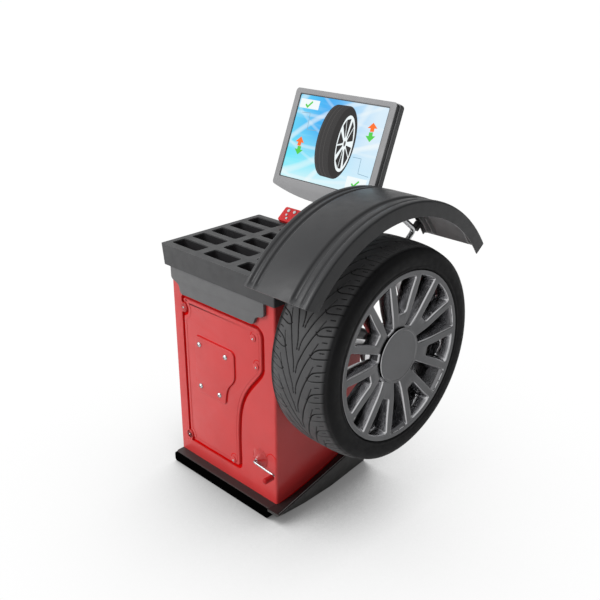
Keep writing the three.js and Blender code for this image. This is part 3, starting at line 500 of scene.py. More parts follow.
def clean(points, least=0.05):
    kept = []
    for p in points:
        if not kept or math.dist(p, kept[-1]) > least:
            kept.append(p)
    if math.dist(kept[0], kept[-1]) <= least:
        kept.pop()
    return kept


def area(points):
    return sum(a[0] * b[1] - b[0] * a[1] for a, b in zip(points, points[1:] + points[:1])) / 2


def grown(points, distance):
    """Closed anticlockwise outline moved outwards by a distance."""
    if area(points) < 0:
        points = points[::-1]
    out = []
    for i, p in enumerate(points):
        a, b = Vector(points[i - 1]), Vector(points[(i + 1) % len(points)])
        u, v = (Vector(p) - a).normalized(), (b - Vector(p)).normalized()
        normal = Vector((u.y + v.y, -u.x - v.x)).normalized()
        reach = max(0.6, normal.x * v.y - normal.y * v.x)
        out.append(tuple(Vector(p) + normal * distance / reach))
    return out


def prism(name, outline, low, high, place=lambda u, v, w: (u, v, w)):
    """Solid between two levels of one outline; place turns (u, v, level) into a point."""
    outline = clean(outline)
    count = len(outline)
    points = [place(u, v, w) for w in (low, high) for u, v in outline]
    tris = tessellate_polygon([[Vector((u, v, 0)) for u, v in outline]])
    faces = [tuple(t) for t in tris] + [tuple(count + i for i in t) for t in tris]
    faces += grid_faces(count, 2)
    mesh = mesh_of(name, points, faces)
    tidy_mesh(mesh, flatten=True)
    return link(name, mesh)


def loft(name, rings, closed=False):
    """Skin over rings of equal point count; open ends are capped."""
    count = len(rings[0])
    faces = grid_faces(count, len(rings), rows_closed=closed)
    if not closed:
        faces += [tuple(range(count)), tuple(range((len(rings) - 1) * count, len(rings) * count))]
    mesh = mesh_of(name, [p for ring in rings for p in ring], faces)
    tidy_mesh(mesh)
    return link(name, mesh)


def lathe(name, profile, segments=96, centre=(0, 0), axis="x"):
    """Profile of (along, radius) turned about an axis; its points on the axis are merged."""
    cu, cv = centre
    places = {"x": lambda a, u, v: (a, u, v), "y": lambda a, u, v: (u, a, v), "z": lambda a, u, v: (u, v, a)}
    closed = profile[0] == profile[-1]
    profile = profile[:-1] if closed else profile
    points = []
    for k in range(segments):
        t = 2 * math.pi * k / segments
        points += [places[axis](a, cu + r * math.cos(t), cv + r * math.sin(t)) for a, r in profile]
    mesh = mesh_of(name, points, grid_faces(len(profile), segments, closed, True))
    tidy_mesh(mesh)
    return link(name, mesh)


def slab(name, outlines, thickness, edge, matrix, bevel_steps=2):
    """Flat plate with rounded edges; the first outline is the outside, the rest are holes.
    It lies in local x, y with its back at z 0, and matrix places it."""
    curve = bpy.data.curves.new(name, "CURVE")
    curve.dimensions = "2D"
    curve.fill_mode = "BOTH"
    for outline in outlines:
        outline = clean(outline)
        spline = curve.splines.new("POLY")
        spline.points.add(len(outline) - 1)
        for point, (u, v) in zip(spline.points, outline):
            point.co = (u * MM, v * MM, 0, 1)
        spline.use_cyclic_u = True
    curve.extrude = (thickness / 2 - edge) * MM
    curve.bevel_depth = edge * MM
    curve.bevel_resolution = bevel_steps
    curve.offset = -edge * MM
    holder = link(name + "_curve", curve)
    graph = bpy.context.evaluated_depsgraph_get()
    mesh = bpy.data.meshes.new_from_object(holder.evaluated_get(graph))
    bpy.data.objects.remove(holder)
    mesh.transform(matrix @ Matrix.Translation((0, 0, thickness / 2 * MM)))
    tidy_mesh(mesh)
    return smooth(link(name, mesh), 40)


def facing(origin_mm, right, up):
    """Matrix of a local frame with x along right, y along up, z out of the face."""
    right, up = Vector(right).normalized(), Vector(up).normalized()
    out = right.cross(up)
    matrix = Matrix((right, up, out)).transposed().to_4x4()
    matrix.translation = Vector(origin_mm) * MM
    return matrix


def front_plane(y):
    """Local frame on a plane that faces the operator: x right, y up, z towards the operator."""
    return facing((0, y, 0), (1, 0, 0), (0, 0, 1))


def smooth_path(points, rounds=3):
    """Chaikin corner cutting on an open path."""
    points = [Vector(p) for p in points]
    for _ in range(rounds):
        new = [points[0]]
        for a, b in zip(points, points[1:]):
            new += [a.lerp(b, 0.25), a.lerp(b, 0.75)]
        points = new + [points[-1]]
    return points


def tube(name, points, radius, sides=20, rounds=3):
    """Round bar along a path with turned corners, closed at both ends."""
    path = smooth_path(points, rounds)
    rings = []
    side = None
    for i, p in enumerate(path):
        along = (path[min(i + 1, len(path) - 1)] - path[max(i - 1, 0)]).normalized()
        side = along.orthogonal() if side is None else side - along * side.dot(along)
        side.normalize()
        other = along.cross(side)
        angles = [2 * math.pi * k / sides for k in range(sides)]
        rings.append([tuple(p + (side * math.cos(a) + other * math.sin(a)) * radius) for a in angles])
    return smooth(loft(name, rings), 50)


def turn_corner(a, p, b, radius, steps):
    """Short curve that replaces the corner p between a and b."""
    start = p + (a - p).normalized() * min(radius, (a - p).length * 0.45)
    end = p + (b - p).normalized() * min(radius, (b - p).length * 0.45)
    shares = [k / steps for k in range(steps + 1)]
    return [start * (1 - t) ** 2 + p * 2 * t * (1 - t) + end * t * t for t in shares]


def round_corners(points, radius, steps=4):
    """Closed outline with each corner that turns by more than 15 degrees replaced by a short curve."""
    points = [Vector(p) for p in points]
    out = []
    for i, p in enumerate(points):
        a, b = points[i - 1], points[(i + 1) % len(points)]
        sharp = (p - a).length and (b - p).length and (p - a).angle(b - p) >= math.radians(15)
        out += turn_corner(a, p, b, radius, steps) if sharp else [p]
    return [tuple(p) for p in out]


def filleted(points, radius, steps=8):
    """Open path with its corners turned into short curves."""
    points = [Vector(p) for p in points]
    out = [points[0]]
    for a, p, b in zip(points, points[1:], points[2:]):
        out += turn_corner(a, p, b, radius, steps)
    return out + [points[-1]]


def block(x0, x1, y0, y1, z0, z1):
    """Box used as a cutter or as the start of a bevelled part."""
    outline = [(x0, y0), (x1, y0), (x1, y1), (x0, y1)]
    return prism("block", outline, z0, z1)


# ---------- base ----------
def panel_edge(y):
    return CAB_LOW.z + 56 * (max(0.0, y + 170) / 265) ** 1.6


def rim_edge(y):
    return CAB_LOW.z + 2 + 0.235 * (y - COVER_LOW.y)


WING_FOOT = ((-184, -90, 40, 237), (258, 264, 262, 241))  # the wing's foot line: y stations and their x
# Bead and gaps along the wing's rim, the bead in a painted highlight and the gaps as black lines of painted
# shade: distance inside its outer edge, drop, radius, look.
WING_LINES = (("rim_bead", 3.2, -0.6, 1.5, "bead_painted_highlight"), ("rim_gap_shade_outer", 0.9, 2.2, 0.9, "lip"),
              ("rim_gap_shade_inner", 6.6, 0.2, 1.2, "lip"))


def build_plinth():
    lip_top = 37
    lip = rounded_rect(PLINTH_LOW.x, PLINTH_HIGH.x, 0, lip_top, 11)
    plinth = prism("base_plinth_black", lip, PLINTH_LOW.y, PLINTH_HIGH.y, lambda u, v, w: (u, w, v))
    dress(rounded(plinth, 1.2), "lip", "frame", ["base_plinth"])
    top = rounded_rect(COVER_LOW.x + 4, CAB_HIGH.x - 3, COVER_LOW.y + 4, COVER_HIGH.y - 4, 10)
    ledge = slab("base_ledge", [top], 4, 1.2, Matrix.Translation((0, 0, (lip_top - 1.5) * MM)))
    dress(ledge, "ledge", "frame", ["base_cover"])


def build_wing():
    inside, outer = CAB_HIGH.x - 6, COVER_HIGH.x
    stations = 56
    rings = []
    for k in range(stations + 1):
        y = COVER_LOW.y + (COVER_HIGH.y - COVER_LOW.y) * k / stations
        rim, top_edge = rim_edge(y), panel_edge(y)
        tip = min(1.0, max(0.0, (-184 - y) / 50))  # the wing's underside rises towards its front tip
        foot_z = 0.4 + 31 * tip
        foot_x = float(np.interp(y, *WING_FOOT)) + 26 * tip
        slope = (rim - top_edge) / (outer - inside)
        section = [(inside, foot_z), (foot_x, foot_z), (outer - 0.8, max(foot_z + 2, rim - 3)),
                   (outer, rim - 1), (outer - 1.5, rim + 0.6), (outer - 7, rim + 0.6 - 7 * slope),
                   (inside, top_edge - 0.4)]
        rings.append([(x, y, z) for x, z in section])
    dress(smooth(loft("base_wing", rings), 38), "wing", "frame")
    for name, inset, drop, radius, look in WING_LINES:
        line = [(outer - inset, y, rim_edge(y) - drop)
                for y in np.linspace(COVER_LOW.y + 2, COVER_HIGH.y - 2, 12)]
        dress(tube(f"base_{name}", line, radius, 12, 0), look, "frame")


# ---------- cabinet ----------
PANEL = {"left": -188, "right": 186, "top": 640, "bottom": 104}
NOTCH, ISLAND = 28, 16  # radii
GROOVE, DEPTH = 13, 9
NOTCHES = ((-192, 603), (-198, 113))
BOLTS = ((-109, 497), (21, 496), (-110, 343), (-15, 344.5))
SCREWS = ((150, 603), (161, 509), (38, 114))
# Pressed lines above the small screws, drawn as dark red lines of painted shade.
SCREW_CREASES = (((26, 124), (30, 136), (38, 141), (47, 142), (51, 140)),
                 ((149, 519), (153, 530), (161, 535), (170, 536), (174, 534)),
                 ((138, 613), (142, 624), (150, 629), (159, 630), (163, 628)))


def panel_outline():
    """Access panel in (x, z), anticlockwise from its lower left notch."""
    left, right, top, bottom = PANEL.values()
    r = NOTCH
    (ux, uz), (lx, lz) = NOTCHES
    low_a = math.degrees(math.asin((bottom - lz) / r))
    low_b = math.degrees(math.acos((left - lx) / r))
    up_a = math.degrees(math.acos((left - ux) / r))
    points = [(polar(lx, lz, r, low_a)[0], bottom), (54, bottom)]
    points += arc(54, bottom + 14, 14, -90, 0)
    points.append((68, 200))
    bend(points, (70, 300), (76, 340), (104, 392))
    bend(points, (134, 446), (right, 486), (right, 512))
    points += arc(right - 26, top - 26, 26, 0, 90)
    points += arc(left + 6, top - 6, 6, 90, 180)
    points += arc(ux, uz, r, up_a, -up_a, 10)
    points += arc(lx, lz, r, low_b, low_a, 8)
    return clean(points, 0.5)


def emboss_outline():
    """Raised plate under the four big bolts."""
    points = [(-118, 318), (2, 318)] + arc(2, 330, 12, -90, 0)
    bend(points, (16, 364), (26, 384), (38, 398))
    bend(points, (54, 414), (61, 424), (61, 442))
    points += [(61, 504)] + arc(43, 506, 18, 0, 90) + [(-118, 524)]
    points += arc(-118, 510, 14, 90, 180) + [(-132, 332)] + arc(-118, 332, 14, 180, 270)
    return clean(points, 0.5)


def plate(name, look, outlines, thickness, edge, behind, replaces=(), steps=2):
    """Red plate on the cabinet's front; its back lies behind the front face by a distance."""
    piece = slab(name, outlines, thickness, edge, front_plane(FRONT + behind), steps)
    return dress(piece, look, "frame", replaces)


def crease(name, points, behind, radius, sides=10, rounds=2, look="red_painted_shade"):
    """Thin line along (x, z) points on the cabinet's front, by default in the red of painted shade."""
    piece = tube(name, [(u, FRONT + behind, v) for u, v in points], radius, sides, rounds)
    return dress(piece, look, "frame")


def build_cabinet():
    x, y = CAB_HIGH.x, CAB_HIGH.y
    walls = prism("cabinet_walls", rounded_rect(-x, x, -y, y, CAB_CORNER, 8), CAB_LOW.z, CAB_HIGH.z)
    inner = rounded_rect(-x + SHEET, x - SHEET, -y + SHEET, y - SHEET, CAB_CORNER - SHEET, 8)
    room = prism("room", inner, CAB_LOW.z - 1, CAB_HIGH.z - SHEET)
    opening = prism("opening", grown(panel_outline(), GROOVE), FRONT - 1, FRONT + SHEET + 1,
                    lambda u, v, w: (u, w, v))
    edge = [(y + 1, 0), (-y - 1, 0)]
    edge += [(q, panel_edge(q)) for q in np.linspace(-y - 1, y + 1, 24)]
    arch = prism("arch", edge, x - SHEET - CAB_CORNER, x + 1, lambda u, v, w: (w, u, v))
    hole = lathe("hole", [(x - 30, 0), (x - 30, 60), (x + 30, 60), (x + 30, 0)], 48, (AXIS.y, AXIS.z))
    switch = block(-150, -70, y - 10, y + 10, 560, 620)
    pedal = lathe("pedal", [(-y - 10, 0), (-y - 10, 14), (-y + 10, 14), (-y + 10, 0)], 32,
                  (PEDAL_AXIS.x, PEDAL_AXIS.z), "y")
    carve(walls, [room, opening, arch, hole, switch, pedal])
    dress(rounded(walls, 1.1, 3, 40), "red", "frame", ["cabinet_shell"])
    for i, (u, v) in enumerate(NOTCHES):
        plate(f"panel_island_{i + 1}", "red", [disc_outline(u, v, ISLAND)], DEPTH + 0.5, 1.6, DEPTH + 0.5)


def build_side_hem():
    """Folded edge along the arch of the right wall, coloured saturated dark red as painted shade."""
    x, y = CAB_HIGH.x, CAB_HIGH.y
    rings = []
    for q in np.linspace(-y + 12, y - 8, 40):
        share = min(1.0, (q + y) / 85)
        low, high = panel_edge(q) - 7.5 * share, panel_edge(q) + 0.6 + 7 * share
        section = ((x + 0.6, high), (x + 0.6, low + 1), (x - 0.4, low), (x - 3.4, low), (x - 3.4, high))
        rings.append([(u, q, v) for u, v in section])
    dress(smooth(loft("side_hem", rings), 50), "red_hem_painted_shade", "frame")


def build_front_panel():
    outline = panel_outline()
    wide = grown(outline, GROOVE + 8)
    # The groove's flange and wall carry the red of painted shade.
    plate("front_panel_flange", "red_painted_shade", [wide], 3, 0.6, DEPTH + 3, ["front_panel"])
    wall = [wide, grown(outline, GROOVE + 0.4)]
    plate("front_panel_wall", "red_painted_shade", wall, DEPTH - SHEET - 0.4, 0.3, DEPTH - 0.1)
    plate("front_panel_pad", "red", [outline], DEPTH + 1.3, 1.9, DEPTH + 0.5, steps=3)
    plate("front_panel_border", "red", [grown(outline, -1.4), grown(outline, -11)], 1.6, 0.6, 0)
    plate("front_panel_emboss", "red", [emboss_outline()], 6.2, 2.4, -0.3, steps=4)
    # Dark red line of painted shade along the emboss's top and right edges.
    ridge = grown(emboss_outline(), 1.2)
    start = min(range(len(ridge)), key=lambda i: math.dist(ridge[i], (15, 332)))
    end = min(range(len(ridge)), key=lambda i: math.dist(ridge[i], (-124, 524)))
    crease("emboss_crease", ridge[start:end + 1], -0.2, 1.6, rounds=1)
    for i, path in enumerate(SCREW_CREASES):
        crease(f"screw_crease_{i + 1}", path, -0.4, 1.3)
    for i, (u, v) in enumerate(SCREWS):
        plate(f"screw_boss_{i + 1}", "red", [disc_outline(u, v + 3, 12)], 3.0, 1.3, -0.4)
    for i, (u, v) in enumerate(BOLTS):
        bolt = cap_screw(f"big_bolt_{i + 1}", 9, 6, (u, FRONT - 6.6, v))
        dress(bolt, "bolt", "frame", [f"panel_bolt_{i + 1}"])
    places = [(u, FRONT - 0.2, v) for u, v in NOTCHES] + [(u, FRONT - 3.2, v) for u, v in SCREWS]
    for i, place in enumerate(places):
        screw = cap_screw(f"small_screw_{i + 1}", 3.4, 2.6, place)
        dress(screw, "bolt", "frame", [f"panel_screw_{i + 1}"])


def cap_screw(name, radius, height, place):
    """Domed head facing the operator, with a hexagon socket."""
    x, y, z = place
    socket = radius * 0.42
    profile = [(y, 0), (y, radius), (y - height * 0.35, radius * 0.97), (y - height * 0.7, radius * 0.8),
               (y - height * 0.94, radius * 0.5), (y - height, socket + 0.3), (y - height * 0.9, socket),
               (y - height * 0.45, socket * 0.95), (y - height * 0.4, 0)]
    return smooth(lathe(name, profile, 36, (x, z), "y"), 50)


# ---------- tray and keypad ----------
CELL = {"first_x": -246, "first_y": -191, "pitch_x": 157.4, "pitch_y": 82.2, "size_x": 125.6, "size_y": 56}
TROUGH = (214, 246)
DRAFT = 4.4


def well(name, span, levels, closed=False):
    """Tapered rounded pocket over a span; levels are (height, inset)."""
    x0, x1, y0, y1 = span
    rings = [[(u, v, z) for u, v in rounded_rect(x0 + d, x1 - d, y0 + d, y1 - d, 9, 5)] for z, d in levels]
    return loft(name, rings, closed)


def bin_spans():
    """Trough and bins in plan: (x0, x1, y0, y1)."""
    last = CELL["first_y"] + 4 * CELL["pitch_y"] + CELL["size_y"]
    spans = [(TROUGH[0], TROUGH[1], CELL["first_y"], last)]
    for i in range(3):
        for j in range(5):
            x, y = CELL["first_x"] + i * CELL["pitch_x"], CELL["first_y"] + j * CELL["pitch_y"]
            spans.append((x, x + CELL["size_x"], y, y + CELL["size_y"]))
    return spans


def build_tray():
    low, high, spans = TRAY_LOW, TRAY_HIGH, bin_spans()
    rings = []
    for z, inset in ((low.z, DRAFT), (high.z, 0)):
        outline = rounded_rect(low.x + inset, high.x - inset, low.y + inset, high.y - inset, 5, 6)
        rings.append([(u, v, z) for u, v in outline])
    body = loft("tray_body", rings)
    seat = block(-CAB_HIGH.x - 1, CAB_HIGH.x + 1, FRONT - 14, CAB_HIGH.y + 1, low.z - 1, CAB_HIGH.z + 0.3)
    bins = [well("bin", span, ((CAB_HIGH.z - 2, 7), (high.z + 1, -0.1))) for span in spans]
    carve(body, [seat, joined("bins", bins)])
    dress(rounded(body, 2.2, 3, 40), "tray", "frame", ["weight_tray"])

    levels = ((CAB_HIGH.z + 0.6, 7.2), (high.z - 4, 0.9), (high.z - 4, 2.2), (CAB_HIGH.z + 0.6, 8.6))
    # The cups lining the bins are near black as painted shade.
    cups = [well("cup", span, levels, closed=True) for span in spans]
    dress(smooth(joined("tray_cups", cups), 40), "bin", "frame")


def build_apron():
    points = [(-178, 656), (146, 657)]
    bend(points, (158, 657), (164, 660), (167, 670), 6)
    bend(points, (170, 682), (178, 688), (188, 690), 6)
    bend(points, (202, 692), (210, 696), (210, 706), 6)
    points += [(210, 740), (218, 752), (-234, 752), (-234, 708)]
    bend(points, (-234, 690), (-196, 698), (-193, 674), 8)
    bend(points, (-191, 662), (-190, 656), (-178, 656), 6)
    apron = slab("apron_plate", [points], 11.6, 1.3, front_plane(FRONT - 0.3))
    dress(apron, "apron", "frame", ["tray_apron"])


KEYPAD = {"x": -102.5, "y": 198, "z": 827, "slope": 38, "width": 105, "length": 58, "depth": 26}
KEYS = [(u, 44, 6.5) for u in (-28, 0, 28)]
KEYS += [(u, v, 4.6) for u, v in ((-25.5, 26), (-15.5, 13), (15.5, 13), (25.5, 26))]


def keypad_frame():
    slope = math.radians(KEYPAD["slope"])
    origin = (KEYPAD["x"], KEYPAD["y"], KEYPAD["z"])
    return facing(origin, (1, 0, 0), (0, math.cos(slope), math.sin(slope)))


def build_keypad():
    place = keypad_frame()
    w, length, depth = KEYPAD["width"], KEYPAD["length"], KEYPAD["depth"]
    outline = rounded_rect(-w / 2, w / 2, 0, length, 7, 6)
    case = slab("keypad_case", [outline], depth, 1.5, place @ Matrix.Translation((0, 0, -depth * MM)), 4)
    floor = block(-260, 60, 100, 400, 600, TRAY_HIGH.z + 0.3)
    carve(case, [floor])
    smooth(case, 40)
    dress(case, "red_plastic", "frame", ["keypad_housing"])
    for i, (u, v, r) in enumerate(KEYS):
        profile = [(-3.5, 0), (-3.5, r), (1.2, r), (2.2, r * 0.93), (2.9, r * 0.72), (3.2, r * 0.4), (3.3, 0)]
        key = lathe(f"button_{i + 1}", profile, 32, (u, v), "z")
        key.data.transform(place)
        dress(smooth(key, 50), "button", f"key_{i + 1}", [f"key_{i + 1}"])
        ring = [(-0.6, r + 0.5), (0.7, r + 0.5), (0.7, r + 1.5), (-0.6, r + 2.4), (-0.6, r + 0.5)]
        collar = lathe(f"button_ring_{i + 1}", ring, 32, (u, v), "z")
        collar.data.transform(place)
        dress(smooth(collar, 50), "red_plastic", "frame")


# ---------- wheel ----------
TREAD_RADIUS = TYRE_HIGH.z - AXIS.z  # at the centre line
TYRE_PITCHES = 32
STEPS_PER_PITCH = 46
GROOVE_DEPTH = 5.0
TREAD_SHIFT, TREAD_PHASE = 2.7, 31.6  # shift of the pattern across and along the tread


def groove_lines():
    """Tread grooves of one pitch: (distance from the centre, along) paths with their half width."""
    arm = [(3.8, 0), (6, 26), (15, 50), (27, 82), (40, 112), (52, 136), (62, 147), (75, 153), (99, 161)]
    branch = [(46, 126), (62, 166)]
    hook = [(44, 64), (50, 57), (58, 56), (99, 68)]
    return [(arm, 1.25), (branch, 0.6), (hook, 1.1), ([(73, 13), (86, 16)], 0.9), ([(73, 43), (86, 46)], 0.9)]


def tread_depth(across, along, pitch):
    """0 on a block, 1 at the bottom of a groove, for arrays of points on the unrolled tread."""
    depth = np.zeros(along.shape)
    for path, half_width in groove_lines():
        path = smooth_path(path, 2) if len(path) > 2 else path
        for (u0, s0), (u1, s1) in zip(path, path[1:]):
            for shift in range(-3, 2):
                du, ds = u1 - u0, s1 - s0
                ru, rs = np.abs(across) - u0, along - (s0 + shift * pitch)
                t = np.clip((ru * du + rs * ds) / (du * du + ds * ds), 0, 1)
                away = np.hypot(ru - t * du, rs - t * ds)
                depth = np.maximum(depth, np.clip((half_width + 0.6 - away) / 0.8, 0, 1))
    return depth


def tyre_profile():
    """Section of the tyre in (across, radius), and how many of its points are on the outside."""
    half = (TYRE_HIGH.x - TYRE_LOW.x) / 2
    wall = ((9, 259.8), (4.5, 261.5), (2, 264.5), (1.6, 268), (2.6, 270.5), (1.2, 274), (0.4, 282), (0, 292),
            (1, 301), (4, 309.5), (8, 315.5))  # (inside the widest point, radius)
    side = [(half - inset, r) for inset, r in wall]
    edge_u, edge_r = side[-1]
    flat = np.arange(0, edge_u, 1.3)[::-1]
    crown = [(u, edge_r + (TREAD_RADIUS - edge_r) * (1 - (u / edge_u) ** 3.2)) for u in flat]
    outer = side + crown
    inner = [(-u, r) for u, r in outer[::-1] if u > 0]
    hidden = [(-half + 22, 248), (-half + 34, 262), (-half + 26, 296), (-half + 40, 312), (half - 40, 312),
              (half - 26, 296), (half - 34, 262), (half - 22, 248)]
    return np.array(outer + inner + hidden), len(outer) + len(inner)


def build_tyre():
    middle = (TYRE_LOW.x + TYRE_HIGH.x) / 2
    profile, outside = tyre_profile()
    steps = TYRE_PITCHES * STEPS_PER_PITCH
    pitch = 2 * math.pi * TREAD_RADIUS / TYRE_PITCHES
    angles = 2 * math.pi * np.arange(steps) / steps
    across, along = np.meshgrid(profile[:, 0], angles * TREAD_RADIUS)
    on_tread = np.clip((102 - np.abs(across)) / 4, 0, 1)
    on_tread[:, outside:] = 0
    one = slice(0, STEPS_PER_PITCH)
    pattern = tread_depth(across[one] + TREAD_SHIFT, along[one], pitch)
    depth = np.tile(pattern, (TYRE_PITCHES, 1)) * on_tread
    radius = profile[:, 1][None, :] - GROOVE_DEPTH * depth
    turn = angles[:, None] + TREAD_PHASE / TREAD_RADIUS
    y, z = AXIS.y - radius * np.cos(turn), AXIS.z + radius * np.sin(turn)
    points = np.stack([middle + across, y, z], axis=-1).reshape(-1, 3)
    mesh = mesh_of("tyre_tread", points, grid_faces(len(profile), steps, True, True))
    for name, values in (("groove", depth), ("tread", np.clip((97 - np.abs(across)) / 10, 0, 1))):
        layer = mesh.attributes.new(name, "FLOAT", "POINT")
        layer.data.foreach_set("value", values.astype(np.float32).ravel())
    mesh.shade_smooth()
    dress(link("tyre_tread", mesh), "tyre", "spindle", ["tyre"])


SPOKES = {"count": 7, "first": 13, "hub": 92, "rim": 246, "open": 8.7, "slot_from": 134, "slot": 11.2}


def sector(inner, outer, mid, inner_half, outer_half, corner, wider=0.0):
    """Ring sector in (y, z) about the spindle, with rounded corners and every side moved out by wider."""
    inner, outer = inner - wider, outer + wider
    inner_half += math.degrees(wider / inner)
    outer_half += math.degrees(wider / outer)
    flat = outer_half - math.degrees(2.3 * corner / outer)
    side = [(inner + (outer - inner) * t, inner_half + (outer_half - inner_half) * t)
            for t in (0.8, 0.65, 0.5, 0.35, 0.2)]
    at = [(outer, a) for a in (-outer_half, -flat, 0, flat, outer_half)] + side
    at += [(inner, a) for a in (inner_half, 0, -inner_half)] + [(r, -a) for r, a in side[::-1]]
    return round_corners([polar(AXIS.y, AXIS.z, r, mid + a) for r, a in at], corner, 6)


# The rim's dished face: radius, depth below the rim's outer end.
DISH = ((60, 19), (92, 17.5), (106, 13), (140, 8), (190, 4), (232, 1), (246.4, 0.6))
# Mouth of an opening in it: (height above the face, how much wider).
MOUTH = ((0.9, 3.8), (-0.5, 2.4), (-2.2, 1.2), (-6, 0.3), (-24, -4.5))


def dish_level(y, z):
    """Level of the dished rim face at a point."""
    radii, depths = zip(*DISH)
    return RIM_HIGH.x - float(np.interp(math.hypot(y - AXIS.y, z - AXIS.z), radii, depths))


def turned(name, profile, look, segments=96, angle=30, replaces=()):
    """Wheel part turned about the spindle."""
    piece = smooth(lathe(name, profile, segments, (AXIS.y, AXIS.z)), angle)
    return dress(piece, look, "spindle", replaces)


def build_barrel():
    o, i, f = RIM_HIGH.x, RIM_LOW.x, RIM_HIGH.z - AXIS.z  # outer end, inner end, flange radius
    outside = ((1.5, 0), (6, 0), (8, 13), (20, 17), (60, 21), (68, 28))  # inwards from o, inwards from f
    inside = ((60, 28), (42, 20), (14, 17), (8, 12), (6, 0), (0, 0), (0, 7), (8, 17), (42, 24), (62, 34))
    back = ((66, 34), (46, 25), (14, 20), (6, 17), (1.6, 14), (0.6, 12.4), (0, 10), (0, 1.5))
    barrel = [(o, f - 1.5)] + [(o - a, f - b) for a, b in outside] + [(i + a, f - b) for a, b in inside]
    barrel += [(o - a, f - b) for a, b in back]
    turned("rim_barrel", barrel, "barrel", 144, 32, ["wheel_rim"])


def opening_cutter(opening):
    """Tapered cutter whose rings follow the dished face."""
    o = RIM_HIGH.x
    rings = [[(o + 8, u, v) for u, v in sector(*opening, 4.4)]]
    for above, wider in MOUTH:
        rings.append([(dish_level(u, v) + above, u, v) for u, v in sector(*opening, wider)])
    rings.append([(o - 60, u, v) for u, v in sector(*opening, -7)])
    return loft("cutter", rings)


def build_spokes():
    o, hub, rim, slot = RIM_HIGH.x, SPOKES["hub"], SPOKES["rim"], SPOKES["slot_from"]
    face = [(o - depth, r) for r, depth in DISH]
    behind = ((5, 244), (12, 240), (24, 238), (42, 234), (46, 150), (44, 60), (19, 60))
    face += [(o - a, r) for a, r in behind]
    disc = lathe("rim_spokes", face, 168, (AXIS.y, AXIS.z))
    cutters = []
    for k in range(SPOKES["count"]):
        angle = SPOKES["first"] + 360 * k / SPOKES["count"]
        middle = angle + 180 / SPOKES["count"]
        cutters.append(opening_cutter((hub, rim - 3, angle, 7.4, SPOKES["open"], 5)))
        cutters.append(opening_cutter((slot, rim - 5, middle, 6.4, SPOKES["slot"], 16)))
    carve(disc, cutters)
    dress(smooth(disc, 50), "alloy", "spindle")


def build_hub():
    o = RIM_HIGH.x
    hub = ((71, 36), (71, 84), (38, 90), (22, 88), (20, 86), (20, 60), (37, 60), (37, 36), (71, 36))
    turned("rim_hub", [(o - a, r) for a, r in hub], "alloy")
    cap_low, cap_high = box_mm("hub_cap")
    front, r = cap_high.x, cap_high.z - AXIS.z
    cap = [(cap_low.x, 0), (cap_low.x, 58), (front - 3.2, 59), (front - 3.2, r), (front - 1.8, r),
           (front - 0.4, r - 0.9), (front, r - 2.4), (front, r - 7), (front - 0.5, r - 7.8), (front - 0.5, 0)]
    turned("hub_disc", cap, "alloy", replaces=["hub_cap"])
    stem = ((30, 150, 165), (14, 144, 158), (6, 141, 155))
    valve = tube("tyre_valve", [(o - a, AXIS.y + b, AXIS.z + c) for a, b, c in stem], 3.2, 12, 2)
    dress(valve, "rubber", "spindle")


# ---------- wheel guard and its arm ----------
GUARD_STATIONS = 132
# Pressed section: (x from the inner rim, drop below the crown).
GUARD_SECTION = [
    (0, 13), (0.5, 4), (4, 1), (13, 2), (17, 7), (26, 7), (29, 1), (37, 1), (41, 6), (46, 6), (50, 0),
    (111, -0.2), (172, 0), (178, 7), (188, 7), (191, 1), (207, 1), (212, 5), (218, 0), (230, 0),
    (235.4, 3.5), (236, 46),
]


def guard_section():
    """Both sides of the pressed sheet: (x, drop) on top and underneath."""
    thickness, outer = GUARD["thickness"], GUARD_SECTION[-1][0]
    path = filleted([(x, -drop, 0) for x, drop in GUARD_SECTION], 5, 4)
    top = [(p.x, -p.y) for p in path]
    under = []
    for i, p in enumerate(path):
        along = (path[min(i + 1, len(path) - 1)] - path[max(i - 1, 0)]).normalized()
        away = p + Vector((along.y, -along.x, 0)) * thickness
        under.append((min(max(away.x, 3), outer - thickness), -away.y))
    under[0] = (thickness, top[0][1])
    under[-1] = (outer - thickness, top[-1][1])
    return top, under


def guard_ring(k, top, under):
    """The guard's section at one of its stations."""
    last, radius, wall = GUARD_STATIONS, GUARD["radius"], GUARD_SECTION[-1][1]
    gap = min(k, last - k) / last * math.radians(GUARD["front"] - GUARD["rear"]) * radius
    fade = min(1.0, max(0.0, (gap - 5) / 9))  # the pressed ribs run out at both ends
    ring = []
    for x, drop in under + top[::-1]:
        if 9 < x < 222:
            level = GUARD["thickness"] if (x, drop) in under else 0
            drop = level + (drop - level) * fade
        side = x if x < 118 else wall - drop
        cut = 10 - math.sqrt(max(0, 100 - (10 - side) ** 2)) if side < 10 else 0
        front = GUARD["front"] - math.degrees(cut / radius)
        rear = GUARD["rear"] - GUARD["rear_flap"] * min(1.0, max(0.0, (224 - x) / 20))
        y, z = polar(0, GUARD["z"], radius - drop, rear + (front - rear) * k / last)
        ring.append((HOOD_LOW.x + x, y, z))
    return ring


def build_guard():
    top, under = guard_section()
    shell = loft("guard_shell", [guard_ring(k, top, under) for k in range(GUARD_STATIONS + 1)])
    dress(rounded(shell, 1.3, 2, 50), "guard", "guard", ["wheel_guard"])


ARM = {"pivot": (236, 785), "x": 330, "radius": 9, "elbow": (342, 868), "end": (146, 1022)}


